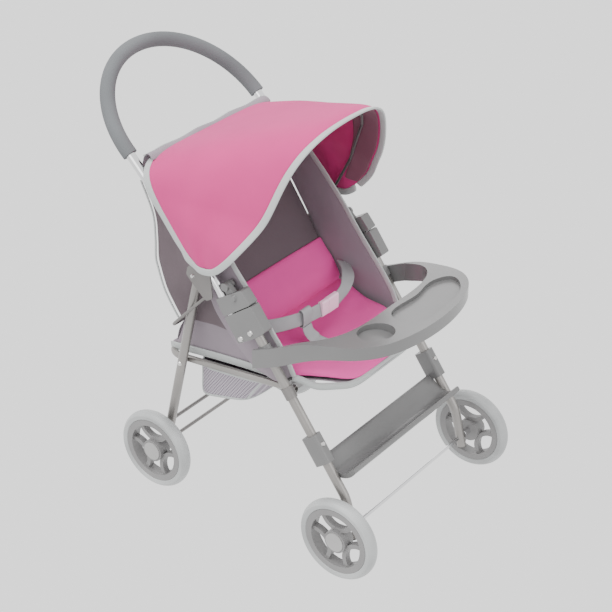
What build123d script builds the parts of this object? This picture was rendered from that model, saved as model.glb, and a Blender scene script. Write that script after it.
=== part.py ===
from build123d import *
import os
from math import atan2, cos, degrees, hypot, pi, radians, sin, tan

os.makedirs("parts", exist_ok=True)

# ---------------------------------------------------------------------------
# Doll stroller. Millimetres, +Z up, the stroller faces -Y, left is -X.
# Side-view places are written as (distance behind the front axle, height).
# ---------------------------------------------------------------------------

# Wheels and axles
WHEEL_D = 115.0
TYRE_W = 19.0
RIM_D = 93.0
RIM_W = 16.0
RIM_WALL = 8.5
HUB_D = 32.0
HUB_W = 19.0
SPOKE_W = 9.0
BAND_RING_D = 54.0
BAND_WALL = 6.0
AXLE_D = 5.0
CAP_D = 27.0
CAP_T = 2.4
WHEELBASE = 319.0
FRONT_TRACK = 316.0
REAR_TRACK = 292.0
CROSS_ROD_RISE = 40.0

# Tubes
TUBE_D = 12.7
TUBE_WALL = 1.0
FRAME_W = 258.0
REAR_LEG_W = 247.0
HOOP_W = 224.0
HOOP_TUBE_D = 9.5
SHIN_PITCH = 76.0
LEG_PITCH = 54.2
SHIN_LENGTH = 42.7
LEG_LENGTH = 271.0
FOOT_LENGTH = 13.5
KNEE_RADIUS = 45.0
HANDLE_PITCH = 45.8
ARCH_PITCH = 41.7
HANDLE_STRAIGHT = 78.0
HANDLE_LENGTH = 192.4
ARCH_RISE = 4.0
HANDLE_BEND_RADIUS = 60.0
GRIP_D = 20.0

# Fold pivots and locks
PIVOT_ALONG = 242.4
TUBE_SPACING = 23.8
LOCK_W = 17.0
LOCK_FRONT = 20.5
LOCK_REAR = 8.7
LOCK_BELOW = 4.6
LOCK_HEIGHT = 38.0
LATCH_GAP = 1.0
LATCH_HEIGHT = 25.0
RIVET_D = 5.0
RIVET_HEAD_D = 8.0
RIVET_HEAD_T = 1.8
PEG_D = 11.4
LEG_BRACKET_ALONG = 24.0
LEG_PIVOT_DROP = 21.3
HOOP_PIVOT_ALONG = 154.5
HOOP_PIVOT_BEHIND = 10.0
LINK_BEHIND = 284.0
LINK_HEIGHT = 199.0
HOOP_REAR = 326.0
HOOP_CORNER = 32.0

# Tray
TRAY_FRONT = -40.0
TRAY_W = 262.0
TRAY_ARM_T = 4.6
TRAY_WALL = 2.4
CUP_D = 48.0
CUP_X = -72.0
CUP_Y = 9.0
CUP_FLOOR = 309.0
SNACK_DEPTH = 5.0

# Footrest
FOOTREST_ALONG = 52.6
SOCKET_LENGTH = 40.0
SOCKET_W = 17.0
SOCKET_T = 25.0
SOCKET_FRONT = 10.0

# Soft parts
FABRIC_T = 2.0
SEAT_W = 208.0
BACK_SKIN = 3.0
BACK_W = 224.0
WING_X = 116.6
STRAP_W = 19.0
STRAP_T = 1.8
BASKET_W = 212.0
CANOPY_W = 291.0
CANOPY_T = 3.0
CANOPY_REAR = (53.5, 156.0, 6.0)
CANOPY_FRONT = (123.0, 237.0, 2.6)
CANOPY_NARROW = 15.0
WIRE_D = 4.0

# Clearances
RUN = 0.05
FIT = 0.3
PLATE_T = 1.6

# ---------------------------------------------------------------------------
# Side-view layout, first from the front axle, then moved so that the whole
# stroller's box is centred on the origin.
# ---------------------------------------------------------------------------

WHEEL_R = WHEEL_D / 2
TUBE_R = TUBE_D / 2
FRAME_X = FRAME_W / 2
REAR_LEG_X = REAR_LEG_W / 2
HOOP_X = HOOP_W / 2


def step(place, distance, pitch):
    """The side-view place that lies a distance along a pitch in degrees."""
    y, z = place
    return (y + distance * cos(radians(pitch)), z + distance * sin(radians(pitch)))


def off_line(start, along, behind, pitch):
    """A side-view place along a pitched line and then square behind it."""
    return step(step(start, along, pitch), behind, pitch - 90)


def reach_behind_axle():
    """How far the grip reaches behind the front axle."""
    knee = step((0, WHEEL_R), SHIN_LENGTH, SHIN_PITCH)
    pivot = off_line(knee, PIVOT_ALONG, TUBE_SPACING, LEG_PITCH)
    bend = step(pivot, HANDLE_STRAIGHT, LEG_PITCH)
    arch = step(bend, HANDLE_LENGTH, HANDLE_PITCH)
    top = step(arch, ARCH_RISE + FRAME_X, ARCH_PITCH)
    return top[0] + GRIP_D / 2


Y0 = (WHEEL_R - reach_behind_axle()) / 2


def at(behind, height):
    """A side-view place measured from the front axle and the floor."""
    return (Y0 + behind, height)


FRONT_AXLE = at(0, WHEEL_R)
REAR_AXLE = at(WHEELBASE, WHEEL_R)
KNEE = step(FRONT_AXLE, SHIN_LENGTH, SHIN_PITCH)
FOOT = step(FRONT_AXLE, -FOOT_LENGTH, SHIN_PITCH)
LEG_TOP = step(KNEE, LEG_LENGTH, LEG_PITCH)
PIVOT = off_line(KNEE, PIVOT_ALONG, TUBE_SPACING, LEG_PITCH)
HANDLE_BEND = step(PIVOT, HANDLE_STRAIGHT, LEG_PITCH)
ARCH_START = step(HANDLE_BEND, HANDLE_LENGTH, HANDLE_PITCH)
LEG_PIVOT = off_line(HANDLE_BEND, LEG_BRACKET_ALONG, LEG_PIVOT_DROP, HANDLE_PITCH)
HOOP_PIVOT = off_line(KNEE, HOOP_PIVOT_ALONG, HOOP_PIVOT_BEHIND, LEG_PITCH)
LINK_PIVOT = at(LINK_BEHIND, LINK_HEIGHT)
REAR_LEG_PITCH = degrees(atan2(LEG_PIVOT[1] - REAR_AXLE[1], LEG_PIVOT[0] - REAR_AXLE[0]))


def leg_place(along, behind):
    """A place measured along the front leg from its knee and behind its axis."""
    return off_line(KNEE, along, behind, LEG_PITCH)


def handle_place(along, behind):
    """A place measured along the handle tube from its bend and behind its axis."""
    return off_line(HANDLE_BEND, along, behind, HANDLE_PITCH)


def side_plane(x):
    """The YZ plane at one x, with its normal along +X."""
    return Plane.YZ.offset(x)


def cross_plane(x, place, pitch):
    """A plane at a side-view place, square to a pitched direction."""
    normal = (0, cos(radians(pitch)), sin(radians(pitch)))
    return Plane(origin=(x, place[0], place[1]), x_dir=(1, 0, 0), z_dir=normal)


def save(piece, name):
    """Label one finished piece and write its file."""
    piece.label = name
    export_step(piece, f"parts/{name}.step")


def save_pair(left_piece, name):
    """Write a left piece and its mirror image as two pieces."""
    save(left_piece, f"{name}_left")
    save(mirror(left_piece, about=Plane.YZ), f"{name}_right")


def tube(points, radii, diameter, wall=0.0):
    """A round tube, or a rod when the wall is 0, bent along corner points."""
    with BuildPart() as body:
        with BuildLine() as path:
            if radii is None:
                Polyline(*points)
            else:
                FilletPolyline(*points, radius=radii)
        with BuildSketch(Plane(origin=path.line @ 0, z_dir=path.line % 0)):
            Circle(diameter / 2)
            if wall:
                Circle(diameter / 2 - wall, mode=Mode.SUBTRACT)
        sweep()
    return body.part


def drill(piece, place, diameter, x_low, x_high):
    """Drill a piece along X at a side-view place."""
    with BuildPart() as drilled:
        add(piece)
        with BuildSketch(side_plane(x_low)):
            with Locations(place):
                Circle(diameter / 2)
        extrude(amount=x_high - x_low, mode=Mode.SUBTRACT)
    return drilled.part


def plate(outline, corner, x_low, x_high):
    """A flat plate square to X with rounded corners."""
    with BuildPart() as body:
        with BuildSketch(side_plane(x_low)) as profile:
            with BuildLine():
                Polyline(*outline, close=True)
            make_face()
            if corner:
                fillet(profile.vertices(), corner)
        extrude(amount=x_high - x_low)
    return body.part


def pin(place, diameter, x_low, x_high, low_head=True, high_head=True):
    """A rivet along X whose shank spans two x values, with domed heads outside."""
    with BuildPart() as rivet:
        with BuildSketch(side_plane(x_low)):
            with Locations(place):
                Circle(diameter / 2)
        extrude(amount=x_high - x_low)
        for x, wanted, way in ((x_low, low_head, -1), (x_high, high_head, 1)):
            if wanted:
                with BuildSketch(side_plane(x)):
                    with Locations(place):
                        Circle(RIVET_HEAD_D / 2 * diameter / RIVET_D)
                extrude(amount=way * RIVET_HEAD_T, taper=25)
    return rivet.part


# ---------------------------------------------------------------------------
# Front frame
# ---------------------------------------------------------------------------

OUTER_X = -FRAME_X - LOCK_W / 2


def front_leg():
    """The left front leg, bent at the knee and drilled for the axle."""
    corners = [(-FRAME_X, *place) for place in (FOOT, KNEE, LEG_TOP)]
    leg = tube(corners, KNEE_RADIUS, TUBE_D, TUBE_WALL)
    return drill(leg, FRONT_AXLE, AXLE_D + 2 * RUN, -FRAME_X - TUBE_D, -FRAME_X + TUBE_D)


save_pair(front_leg(), "front_leg")


def tube_plug(place, pitch, x):
    """A plastic plug that closes a tube's lower end."""
    with BuildPart() as plug:
        with BuildSketch(cross_plane(x, step(place, -2.0, pitch), pitch)):
            Circle(TUBE_R)
        extrude(amount=2.0)
        with BuildSketch(cross_plane(x, place, pitch)):
            Circle(TUBE_R - TUBE_WALL - RUN)
        extrude(amount=6.0)
    return plug.part




def both_plugs(place, pitch, x):
    """The plugs of a left and right tube as one group."""
    return Compound(children=[tube_plug(place, pitch, way * x) for way in (-1, 1)])


save(both_plugs(FOOT, SHIN_PITCH, FRAME_X), "front_leg_plugs")


def lock_body():
    """The left fold housing: a sleeve on the leg and a slot for the handle tube."""
    low = PIVOT_ALONG - LOCK_BELOW
    top = low + LOCK_HEIGHT
    rear = TUBE_SPACING + LOCK_REAR
    outline = [
        leg_place(low, -LOCK_FRONT),
        leg_place(low - 2, 0),
        leg_place(low, rear),
        leg_place(top, rear),
        leg_place(top, -LOCK_FRONT),
    ]
    slot_front = TUBE_SPACING - TUBE_R - 6.0
    slot = [
        leg_place(low - 20, slot_front),
        leg_place(low - 20, rear + 20),
        leg_place(top + 20, rear + 20),
        leg_place(top + 20, slot_front),
    ]
    with BuildPart() as housing:
        with BuildSketch(side_plane(OUTER_X)) as profile:
            with BuildLine():
                Polyline(*outline, close=True)
            make_face()
            fillet(profile.vertices(), 2.5)
        extrude(amount=LOCK_W)
        outer_faces = housing.faces().filter_by(Axis.X)
        fillet(outer_faces.edges(), 0.9)
        with BuildSketch(cross_plane(-FRAME_X, leg_place(low - 20, 0), LEG_PITCH)):
            Circle(TUBE_R + RUN)
        extrude(amount=LOCK_HEIGHT + 60, mode=Mode.SUBTRACT)
        with BuildSketch(side_plane(-FRAME_X - TUBE_R - FIT)):
            with BuildLine():
                Polyline(*slot, close=True)
            make_face()
        extrude(amount=TUBE_D + 2 * FIT, mode=Mode.SUBTRACT)
        with BuildSketch(side_plane(OUTER_X - 1)):
            with Locations(PIVOT):
                Circle(RIVET_D / 2 + RUN / 2)
        extrude(amount=LOCK_W + 2, mode=Mode.SUBTRACT)
    return housing.part


save_pair(lock_body(), "lock_body")


def lock_rivets():
    """Both fold pins, and the rivet heads that hold the housings on the legs."""
    pieces = []
    for side in (-1, 1):
        x_low = side * FRAME_X - LOCK_W / 2
        pieces.append(pin(PIVOT, RIVET_D, x_low, x_low + LOCK_W))
        face = side * (FRAME_X + LOCK_W / 2)
        with BuildPart() as head:
            with BuildSketch(side_plane(face)):
                with Locations(leg_place(PIVOT_ALONG + 2, 3.0)):
                    Circle(RIVET_HEAD_D / 2)
            extrude(amount=side * RIVET_HEAD_T, taper=25)
        pieces.append(head.part)
    return Compound(children=pieces)


save(lock_rivets(), "lock_rivets")

HOOP_EAR_X = -FRAME_X + TUBE_R + FIT
HOOP_R = HOOP_TUBE_D / 2


def hoop_bracket():
    """The left clip round the front leg whose ear carries the basket hoop."""
    with BuildPart() as clip:
        with BuildSketch(cross_plane(-FRAME_X, leg_place(HOOP_PIVOT_ALONG - 8, 0), LEG_PITCH)):
            Circle(TUBE_R + RUN + PLATE_T)
            Circle(TUBE_R + RUN, mode=Mode.SUBTRACT)
        extrude(amount=16)
        ear = [
            leg_place(HOOP_PIVOT_ALONG - 8, -1),
            leg_place(HOOP_PIVOT_ALONG - 8, HOOP_PIVOT_BEHIND + 7),
            leg_place(HOOP_PIVOT_ALONG + 8, HOOP_PIVOT_BEHIND + 7),
            leg_place(HOOP_PIVOT_ALONG + 8, -1),
        ]
        with BuildSketch(side_plane(HOOP_EAR_X)) as profile:
            with BuildLine():
                Polyline(*ear, close=True)
            make_face()
            fillet(profile.vertices(), 3.5)
        extrude(amount=PLATE_T)
        with BuildSketch(side_plane(HOOP_EAR_X - 1)):
            with Locations(HOOP_PIVOT):
                Circle(RIVET_D / 2)
        extrude(amount=PLATE_T + 2, mode=Mode.SUBTRACT)
    return clip.part


save_pair(hoop_bracket(), "hoop_bracket")


def hoop_rivets():
    """The two pins that the basket hoop turns on."""
    pieces = []
    x_high = -HOOP_X + HOOP_R
    left = pin(HOOP_PIVOT, RIVET_D - 2 * RUN, HOOP_EAR_X, x_high)
    with BuildPart() as spaced:
        add(left)
        with BuildSketch(side_plane(HOOP_EAR_X + PLATE_T)):
            with Locations(HOOP_PIVOT):
                Circle(RIVET_HEAD_D / 2)
        extrude(amount=-HOOP_X - HOOP_R - FIT - HOOP_EAR_X - PLATE_T)
    pieces.append(spaced.part)
    pieces.append(mirror(spaced.part, about=Plane.YZ))
    return Compound(children=pieces)


save(hoop_rivets(), "hoop_rivets")


def across_rod(place, diameter, half_length, end_d=0.0, end_t=0.0):
    """A straight rod along X, with round end nuts when they have a size."""
    with BuildPart() as rod:
        with BuildSketch(side_plane(-half_length)):
            with Locations(place):
                Circle(diameter / 2)
        extrude(amount=2 * half_length)
        if end_d:
            for way in (-1, 1):
                with BuildSketch(side_plane(way * half_length)):
                    with Locations(place):
                        Circle(end_d / 2)
                extrude(amount=way * end_t)
    return rod.part


HUB_OUT = HUB_W / 2
CAP_ROOM = 2.0
FRONT_AXLE_HALF = FRONT_TRACK / 2 + HUB_OUT - CAP_ROOM - 1.0
REAR_AXLE_HALF = REAR_TRACK / 2 + HUB_OUT - CAP_ROOM - 1.0


def axle(place, half, leg_x):
    """An axle with a retaining collar on each side of each wheel hub."""
    with BuildPart() as rod:
        add(across_rod(place, AXLE_D, half))
        wheel_x = half - HUB_OUT + CAP_ROOM + 1.0
        inner_face = wheel_x - HUB_OUT
        for way in (-1, 1):
            start = leg_x + TUBE_R + FIT
            with BuildSketch(side_plane(way * start)):
                with Locations(place):
                    Circle(AXLE_D)
            extrude(amount=way * (inner_face - FIT - start))
    return rod.part


save(axle(FRONT_AXLE, FRONT_AXLE_HALF, FRAME_X), "front_axle")

# ---------------------------------------------------------------------------
# Footrest
# ---------------------------------------------------------------------------


def footrest():
    """A dished tread between two sockets that grip the front legs."""
    half = FRAME_X - SOCKET_W / 2 + 2.0
    rear_top = at(52, 143)
    dish = at(30, 129)
    front_lip = at(4, 142)
    with BuildPart() as tread:
        with BuildSketch(side_plane(-half)):
            with BuildLine():
                top = Spline(
                    at(55, 139), rear_top, at(44, 139), dish, at(14, 132), front_lip, at(1, 138)
                )
                under = Spline(top @ 1, at(12, 126), at(30, 122), at(46, 131), top @ 0)
            make_face()
        extrude(amount=2 * half)
        for way in (-1, 1):
            low = leg_place(FOOTREST_ALONG, 0)
            with BuildSketch(cross_plane(way * FRAME_X, low, LEG_PITCH)):
                with Locations((0, SOCKET_T / 2 - SOCKET_FRONT)):
                    RectangleRounded(SOCKET_W, SOCKET_T, 5)
            extrude(amount=SOCKET_LENGTH)
        for way in (-1, 1):
            with BuildSketch(cross_plane(way * FRAME_X, leg_place(FOOTREST_ALONG - 40, 0), LEG_PITCH)):
                Circle(TUBE_R + RUN)
            extrude(amount=SOCKET_LENGTH + 80, mode=Mode.SUBTRACT)
    return tread.part


save(footrest(), "footrest")


def footrest_screws():
    """A screw head on the front of each footrest socket."""
    pieces = []
    for way in (-1, 1):
        face = leg_place(FOOTREST_ALONG + SOCKET_LENGTH * 0.62, -SOCKET_FRONT)
        normal = (0, cos(radians(LEG_PITCH + 90)), sin(radians(LEG_PITCH + 90)))
        plane = Plane(origin=(way * FRAME_X, *face), x_dir=(1, 0, 0), z_dir=normal)
        with BuildPart() as screw:
            with BuildSketch(plane):
                Circle(3.2)
            extrude(amount=1.8, taper=20)
        pieces.append(screw.part)
    return Compound(children=pieces)


save(footrest_screws(), "footrest_screws")

# ---------------------------------------------------------------------------
# Tray
# ---------------------------------------------------------------------------

TRAY_BACK = 151.0
TRAY_ARM_X = FRAME_X + TUBE_R + 2 * FIT


def tray_outline(inset):
    """The tray's outer edge, from the right arm's end round to the left's."""
    wide = TRAY_W / 2
    arm = TRAY_ARM_X + TRAY_ARM_T
    right = [
        (arm - inset, at(TRAY_BACK, 0)[0]),
        (arm - inset, at(130, 0)[0]),
        (arm - 0.3 - inset, at(109, 0)[0]),
        (arm - 4.5 - inset, at(84, 0)[0]),
        (wide - inset, at(50, 0)[0]),
        (wide - 9 - inset, at(8, 0)[0]),
        (wide - 28 - inset * 0.8, at(TRAY_FRONT + 25 + inset * 0.6, 0)[0]),
        (wide - 66 - inset * 0.4, at(TRAY_FRONT + 8 + inset * 0.9, 0)[0]),
        (0, at(TRAY_FRONT + inset, 0)[0]),
    ]
    return right + [(-x, y) for x, y in reversed(right[:-1])]


def tray_opening(inset):
    """The inner edge of the tray and its arms, from right to left."""
    right = [
        (TRAY_ARM_X + inset, at(TRAY_BACK, 0)[0]),
        (TRAY_ARM_X + inset, at(130, 0)[0]),
        (TRAY_ARM_X + 0.2 + inset, at(108, 0)[0]),
        (TRAY_W / 2 - 1.5 + inset, at(90, 0)[0]),
        (TRAY_W / 2 - 9 + inset * 0.9, at(69, 0)[0]),
        (TRAY_W / 2 - 29 + inset * 0.7, at(48 - inset * 0.7, 0)[0]),
        (TRAY_W / 2 - 62, at(37 - inset, 0)[0]),
        (0, at(35 - inset, 0)[0]),
    ]
    return right + [(-x, y) for x, y in reversed(right[:-1])]


TRAY_TOP = [(TRAY_BACK, 274), (104, 295), (76, 306.5), (50, 313), (10, 319.5), (TRAY_FRONT - 4, 324)]
TRAY_BOTTOM = [(TRAY_FRONT - 4, 305.5), (10, 302), (50, 292), (81, 279), (TRAY_BACK, 247)]


def tray_slab(top_drop, bottom_drop, half):
    """The tray's side profile, drawn on the left and run across to the right."""
    top = [at(y, z - top_drop) for y, z in TRAY_TOP]
    bottom = [at(y, z - bottom_drop) for y, z in TRAY_BOTTOM]
    with BuildSketch(side_plane(-half)) as profile:
        with BuildLine():
            upper = Spline(*top)
            Line(upper @ 1, bottom[0])
            lower = Spline(*bottom)
            Line(lower @ 1, upper @ 0)
        make_face()
    return profile.sketch


def recess_outline(grow):
    """The snack recess seen from above."""
    with BuildSketch(Plane.XY.offset(CUP_FLOOR - 20)) as area:
        with BuildLine():
            Spline(
                (-34 - grow, at(0, 0)[0]),
                (-20, at(22 + grow, 0)[0]),
                (40, at(23 + grow, 0)[0]),
                (86, at(27 + grow, 0)[0]),
                (104 + grow, at(14, 0)[0]),
                (84, at(-15 - grow, 0)[0]),
                (20, at(-27 - grow, 0)[0]),
                (-26, at(-22 - grow, 0)[0]),
                periodic=True,
            )
        make_face()
    return area.sketch


def tray():
    """A moulded tray: arms outside the legs, a cup well and a snack recess."""
    half = TRAY_W
    with BuildPart() as moulding:
        with BuildSketch(Plane.XY.offset(200)):
            with BuildLine():
                outer = Spline(*tray_outline(0))
                Line(outer @ 1, tray_opening(0)[-1])
                inner = Spline(*reversed(tray_opening(0)))
                Line(inner @ 1, outer @ 0)
            make_face()
        extrude(amount=200)
        extrude(tray_slab(0, 0, half), amount=2 * half, mode=Mode.INTERSECT)
        with Locations((0, at(TRAY_BACK, 0)[0], CUP_FLOOR)):
            Box(2 * TRAY_ARM_X, 2 * (TRAY_BACK - 105), 200, mode=Mode.SUBTRACT)
    with BuildPart() as core:
        with BuildSketch(Plane.XY.offset(200)):
            with BuildLine():
                outer = Spline(*[p for p in tray_outline(TRAY_WALL) if p[1] < at(60, 0)[0]])
                inner = Spline(*reversed([p for p in tray_opening(TRAY_WALL) if p[1] < at(60, 0)[0]]))
                Line(outer @ 1, inner @ 0)
                Line(inner @ 1, outer @ 0)
            make_face()
        extrude(amount=200)
        extrude(tray_slab(TRAY_WALL, 40, half), amount=2 * half, mode=Mode.INTERSECT)
        with BuildSketch(Plane.XY.offset(CUP_FLOOR - TRAY_WALL)):
            with Locations((CUP_X, at(CUP_Y, 0)[0])):
                Circle(CUP_D / 2 + TRAY_WALL)
        extrude(amount=60, mode=Mode.SUBTRACT)
    with BuildPart() as snack:
        add(recess_outline(0))
        extrude(amount=60)
        extrude(tray_slab(SNACK_DEPTH, 60, half), amount=2 * half, mode=Mode.INTERSECT)
    with BuildPart() as snack_room:
        add(recess_outline(0))
        extrude(amount=60)
    with BuildPart() as recess_wall:
        add(recess_outline(TRAY_WALL))
        extrude(amount=60)
        extrude(tray_slab(0, 60, half), amount=2 * half, mode=Mode.INTERSECT)
    with BuildPart() as below_recess:
        add(recess_outline(TRAY_WALL))
        extrude(amount=60)
        extrude(tray_slab(SNACK_DEPTH + TRAY_WALL, 60, half), amount=2 * half, mode=Mode.INTERSECT)
    with BuildPart() as body:
        add(moulding.part)
        add(core.part, mode=Mode.SUBTRACT)
        add(recess_wall.part)
        add(below_recess.part, mode=Mode.SUBTRACT)
        add(snack_room.part - snack.part, mode=Mode.SUBTRACT)
        with BuildSketch(Plane.XY.offset(CUP_FLOOR)):
            with Locations((CUP_X, at(CUP_Y, 0)[0])):
                Circle(CUP_D / 2)
        extrude(amount=60, mode=Mode.SUBTRACT)
    return body.part


save(tray(), "tray")

# The clip on each leg that a tray arm ends in.
TRAY_CLIP_ALONG = 209.0
CLIP_T = 2.2


def tray_clip():
    """The left clip that joins a tray arm's end to the front leg."""
    low = leg_place(TRAY_CLIP_ALONG, 0)
    with BuildPart() as clip:
        with BuildSketch(cross_plane(-FRAME_X, low, LEG_PITCH)):
            Circle(TUBE_R + RUN + CLIP_T)
            with Locations((-TUBE_R - FIT - TUBE_D, 0)):
                Rectangle(2 * TUBE_D, 2 * TUBE_D, mode=Mode.SUBTRACT)
            Circle(TUBE_R + RUN, mode=Mode.SUBTRACT)
        extrude(amount=14)
    return clip.part


save_pair(tray_clip(), "tray_clip")


# ---------------------------------------------------------------------------
# Seat, on the front frame
# ---------------------------------------------------------------------------

LEG_INNER_X = FRAME_X - TUBE_R - FIT


def seat_front_wire():
    """The bowed wire between the front legs that holds the seat's front edge."""
    end = leg_place(HOOP_PIVOT_ALONG + 14, 0)
    half = [
        (LEG_INNER_X, *end),
        (LEG_INNER_X - 12, *end),
        (FRAME_X - 27, *at(76, 227)),
        (FRAME_X - 66, *at(48, 222)),
    ]
    points = [(-x, y, z) for x, y, z in half] + half[::-1]
    return tube(points, 10, WIRE_D)


save(seat_front_wire(), "seat_front_wire")


def seat_bottom():
    """The seat pad and its fabric sling, bowed forward at the front edge."""
    half = SEAT_W / 2
    with BuildPart() as pad:
        with BuildSketch(side_plane(-half)):
            with BuildLine():
                top = Spline(at(50, 230), at(84, 233), at(130, 235), at(192, 253))
                Line(top @ 1, at(196, 243))
                under = Spline(at(196, 243), at(130, 224), at(84, 222), at(50, 220))
                Line(under @ 1, top @ 0)
            make_face()
        extrude(amount=2 * half)
        with BuildSketch(Plane.XY.offset(200)):
            with BuildLine():
                front = Spline(
                    (-half, at(117, 0)[0]), (-FRAME_X + 38, at(80, 0)[0]),
                    (-FRAME_X + 70, at(56, 0)[0]), (0, at(53, 0)[0]), (FRAME_X - 70, at(56, 0)[0]),
                    (FRAME_X - 38, at(80, 0)[0]), (half, at(117, 0)[0]),
                )
                Polyline(front @ 1, (half, at(200, 0)[0]), (-half, at(200, 0)[0]), front @ 0)
            make_face()
        extrude(amount=80, mode=Mode.INTERSECT)
    return pad.part


save(seat_bottom(), "seat_bottom")


def seat_wing():
    """The left side cloth between the tubes, the seat and the back."""
    outline = [
        at(220, 384), at(150, 312), at(104, 250), at(112, 238), at(132, 231), at(164, 226),
        at(180, 236), at(212, 266), at(240, 296), at(243, 340), at(244, 372),
    ]
    return plate(outline, 3.0, -WING_X, -WING_X + FABRIC_T)


save_pair(seat_wing(), "seat_wing")

# ---------------------------------------------------------------------------
# Harness
# ---------------------------------------------------------------------------

BELT_LOW = 268.0
BUCKLE_X = -11.0
BUCKLE_BASE = 14.0
BUCKLE_LENGTH = 21.0
BUCKLE_H = 23.0
BUCKLE_T = 8.0
PRONG_LENGTH = 15.0
BELT_Y = at(139.5, 0)[0]


def belt(places):
    """A standing webbing band that follows places seen from above."""
    with BuildPart() as band:
        with BuildSketch(Plane.XY.offset(BELT_LOW)):
            with BuildLine():
                Spline(*places)
            trace(line_width=STRAP_T)
        extrude(amount=STRAP_W)
    return band.part


WING_INNER_X = WING_X - FABRIC_T
BELT_END_X = WING_INNER_X - 1.2

save(
    belt([
        (-BELT_END_X, at(197, 0)[0]), (-80, at(168, 0)[0]), (-44, at(147, 0)[0]),
        (BUCKLE_X - FIT, BELT_Y),
    ]),
    "waist_strap_left",
)
save(
    belt([
        (BUCKLE_X + BUCKLE_BASE + BUCKLE_LENGTH + FIT, BELT_Y), (50, at(147, 0)[0]),
        (84, at(170, 0)[0]), (BELT_END_X, at(197, 0)[0]),
    ]),
    "waist_strap_right",
)


def buckle_part(x_low, length, thick, high):
    """A block of the buckle, centred on the belt."""
    with BuildPart() as block:
        with BuildSketch(side_plane(x_low)):
            with Locations((BELT_Y, BELT_LOW + STRAP_W / 2)):
                RectangleRounded(thick, high, thick * 0.3)
        extrude(amount=length)
    return block.part


def buckle_socket():
    """The buckle's socket half, open towards the prongs."""
    x_low = BUCKLE_X + BUCKLE_BASE + FIT
    with BuildPart() as socket:
        add(buckle_part(x_low, BUCKLE_LENGTH - FIT, BUCKLE_T, BUCKLE_H))
        with BuildSketch(side_plane(x_low)):
            with Locations((BELT_Y, BELT_LOW + STRAP_W / 2)):
                Rectangle(BUCKLE_T - 3.2, BUCKLE_H - 3.6)
        extrude(amount=PRONG_LENGTH + 2, mode=Mode.SUBTRACT)
    return socket.part


def buckle_prongs():
    """The buckle's plug half with three prongs."""
    x_mid = BUCKLE_X + BUCKLE_BASE
    with BuildPart() as prongs:
        add(buckle_part(BUCKLE_X, BUCKLE_BASE, BUCKLE_T - 0.6, BUCKLE_H - 1.0))
        with BuildSketch(side_plane(x_mid)):
            with Locations((BELT_Y, BELT_LOW + STRAP_W / 2)):
                with GridLocations(0, 7.4, 1, 3):
                    Rectangle(BUCKLE_T - 4.6, 3.4)
        extrude(amount=PRONG_LENGTH)
    return prongs.part


save(buckle_socket(), "buckle_socket")
save(buckle_prongs(), "buckle_prongs")


def crotch_strap():
    """The strap from the seat's front edge up to its keeper on the waist strap."""
    with BuildPart() as strap:
        with BuildSketch(side_plane(-48)):
            with BuildLine():
                Spline(at(62, 235), at(96, 237.5), at(126, 244), at(142, 265))
            trace(line_width=STRAP_T)
        extrude(amount=STRAP_W)
    return strap.part


save(crotch_strap(), "crotch_strap")

# ---------------------------------------------------------------------------
# Handle, with the seat back on it
# ---------------------------------------------------------------------------

HANDLE_TAIL = 5.5
ARCH_BASE = step(ARCH_START, ARCH_RISE, ARCH_PITCH)
ARCH_TOP = step(ARCH_BASE, FRAME_X, ARCH_PITCH)
BRACKET_PIN = handle_place(LEG_BRACKET_ALONG, 0)
PLATE_OUT_X = -FRAME_X - TUBE_R - FIT - PLATE_T


def handle_tube():
    """The one-piece handle: two straight sides and a round top."""
    side = [step(PIVOT, -HANDLE_TAIL, LEG_PITCH), HANDLE_BEND, ARCH_START, ARCH_BASE]
    left = [(-FRAME_X, *place) for place in side]
    right = [(FRAME_X, *place) for place in side[::-1]]
    with BuildPart() as handle:
        with BuildLine() as path:
            FilletPolyline(*left, radius=HANDLE_BEND_RADIUS)
            ThreePointArc(left[-1], (0, *ARCH_TOP), right[0])
            FilletPolyline(*right, radius=HANDLE_BEND_RADIUS)
        with BuildSketch(cross_plane(-FRAME_X, side[0], LEG_PITCH)):
            Circle(TUBE_R)
            Circle(TUBE_R - TUBE_WALL, mode=Mode.SUBTRACT)
        sweep()
    piece = handle.part
    for place, diameter in ((PIVOT, RIVET_D + 2 * RUN), (BRACKET_PIN, RIVET_D * 0.8 + 2 * RUN)):
        piece = drill(piece, place, diameter, -FRAME_X - TUBE_D, FRAME_X + TUBE_D)
    return piece


save(handle_tube(), "handle_tube")


def handle_grip():
    """The foam sleeve over the round top of the handle."""
    start = step(ARCH_START, ARCH_RISE * 0.6, ARCH_PITCH)
    with BuildPart() as grip:
        with BuildLine():
            Line((-FRAME_X, *start), (-FRAME_X, *ARCH_BASE))
            ThreePointArc((-FRAME_X, *ARCH_BASE), (0, *ARCH_TOP), (FRAME_X, *ARCH_BASE))
            Line((FRAME_X, *ARCH_BASE), (FRAME_X, *start))
        with BuildSketch(cross_plane(-FRAME_X, start, ARCH_PITCH)):
            Circle(GRIP_D / 2)
            Circle(TUBE_R + RUN, mode=Mode.SUBTRACT)
        sweep()
    return grip.part


save(handle_grip(), "handle_grip")


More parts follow.
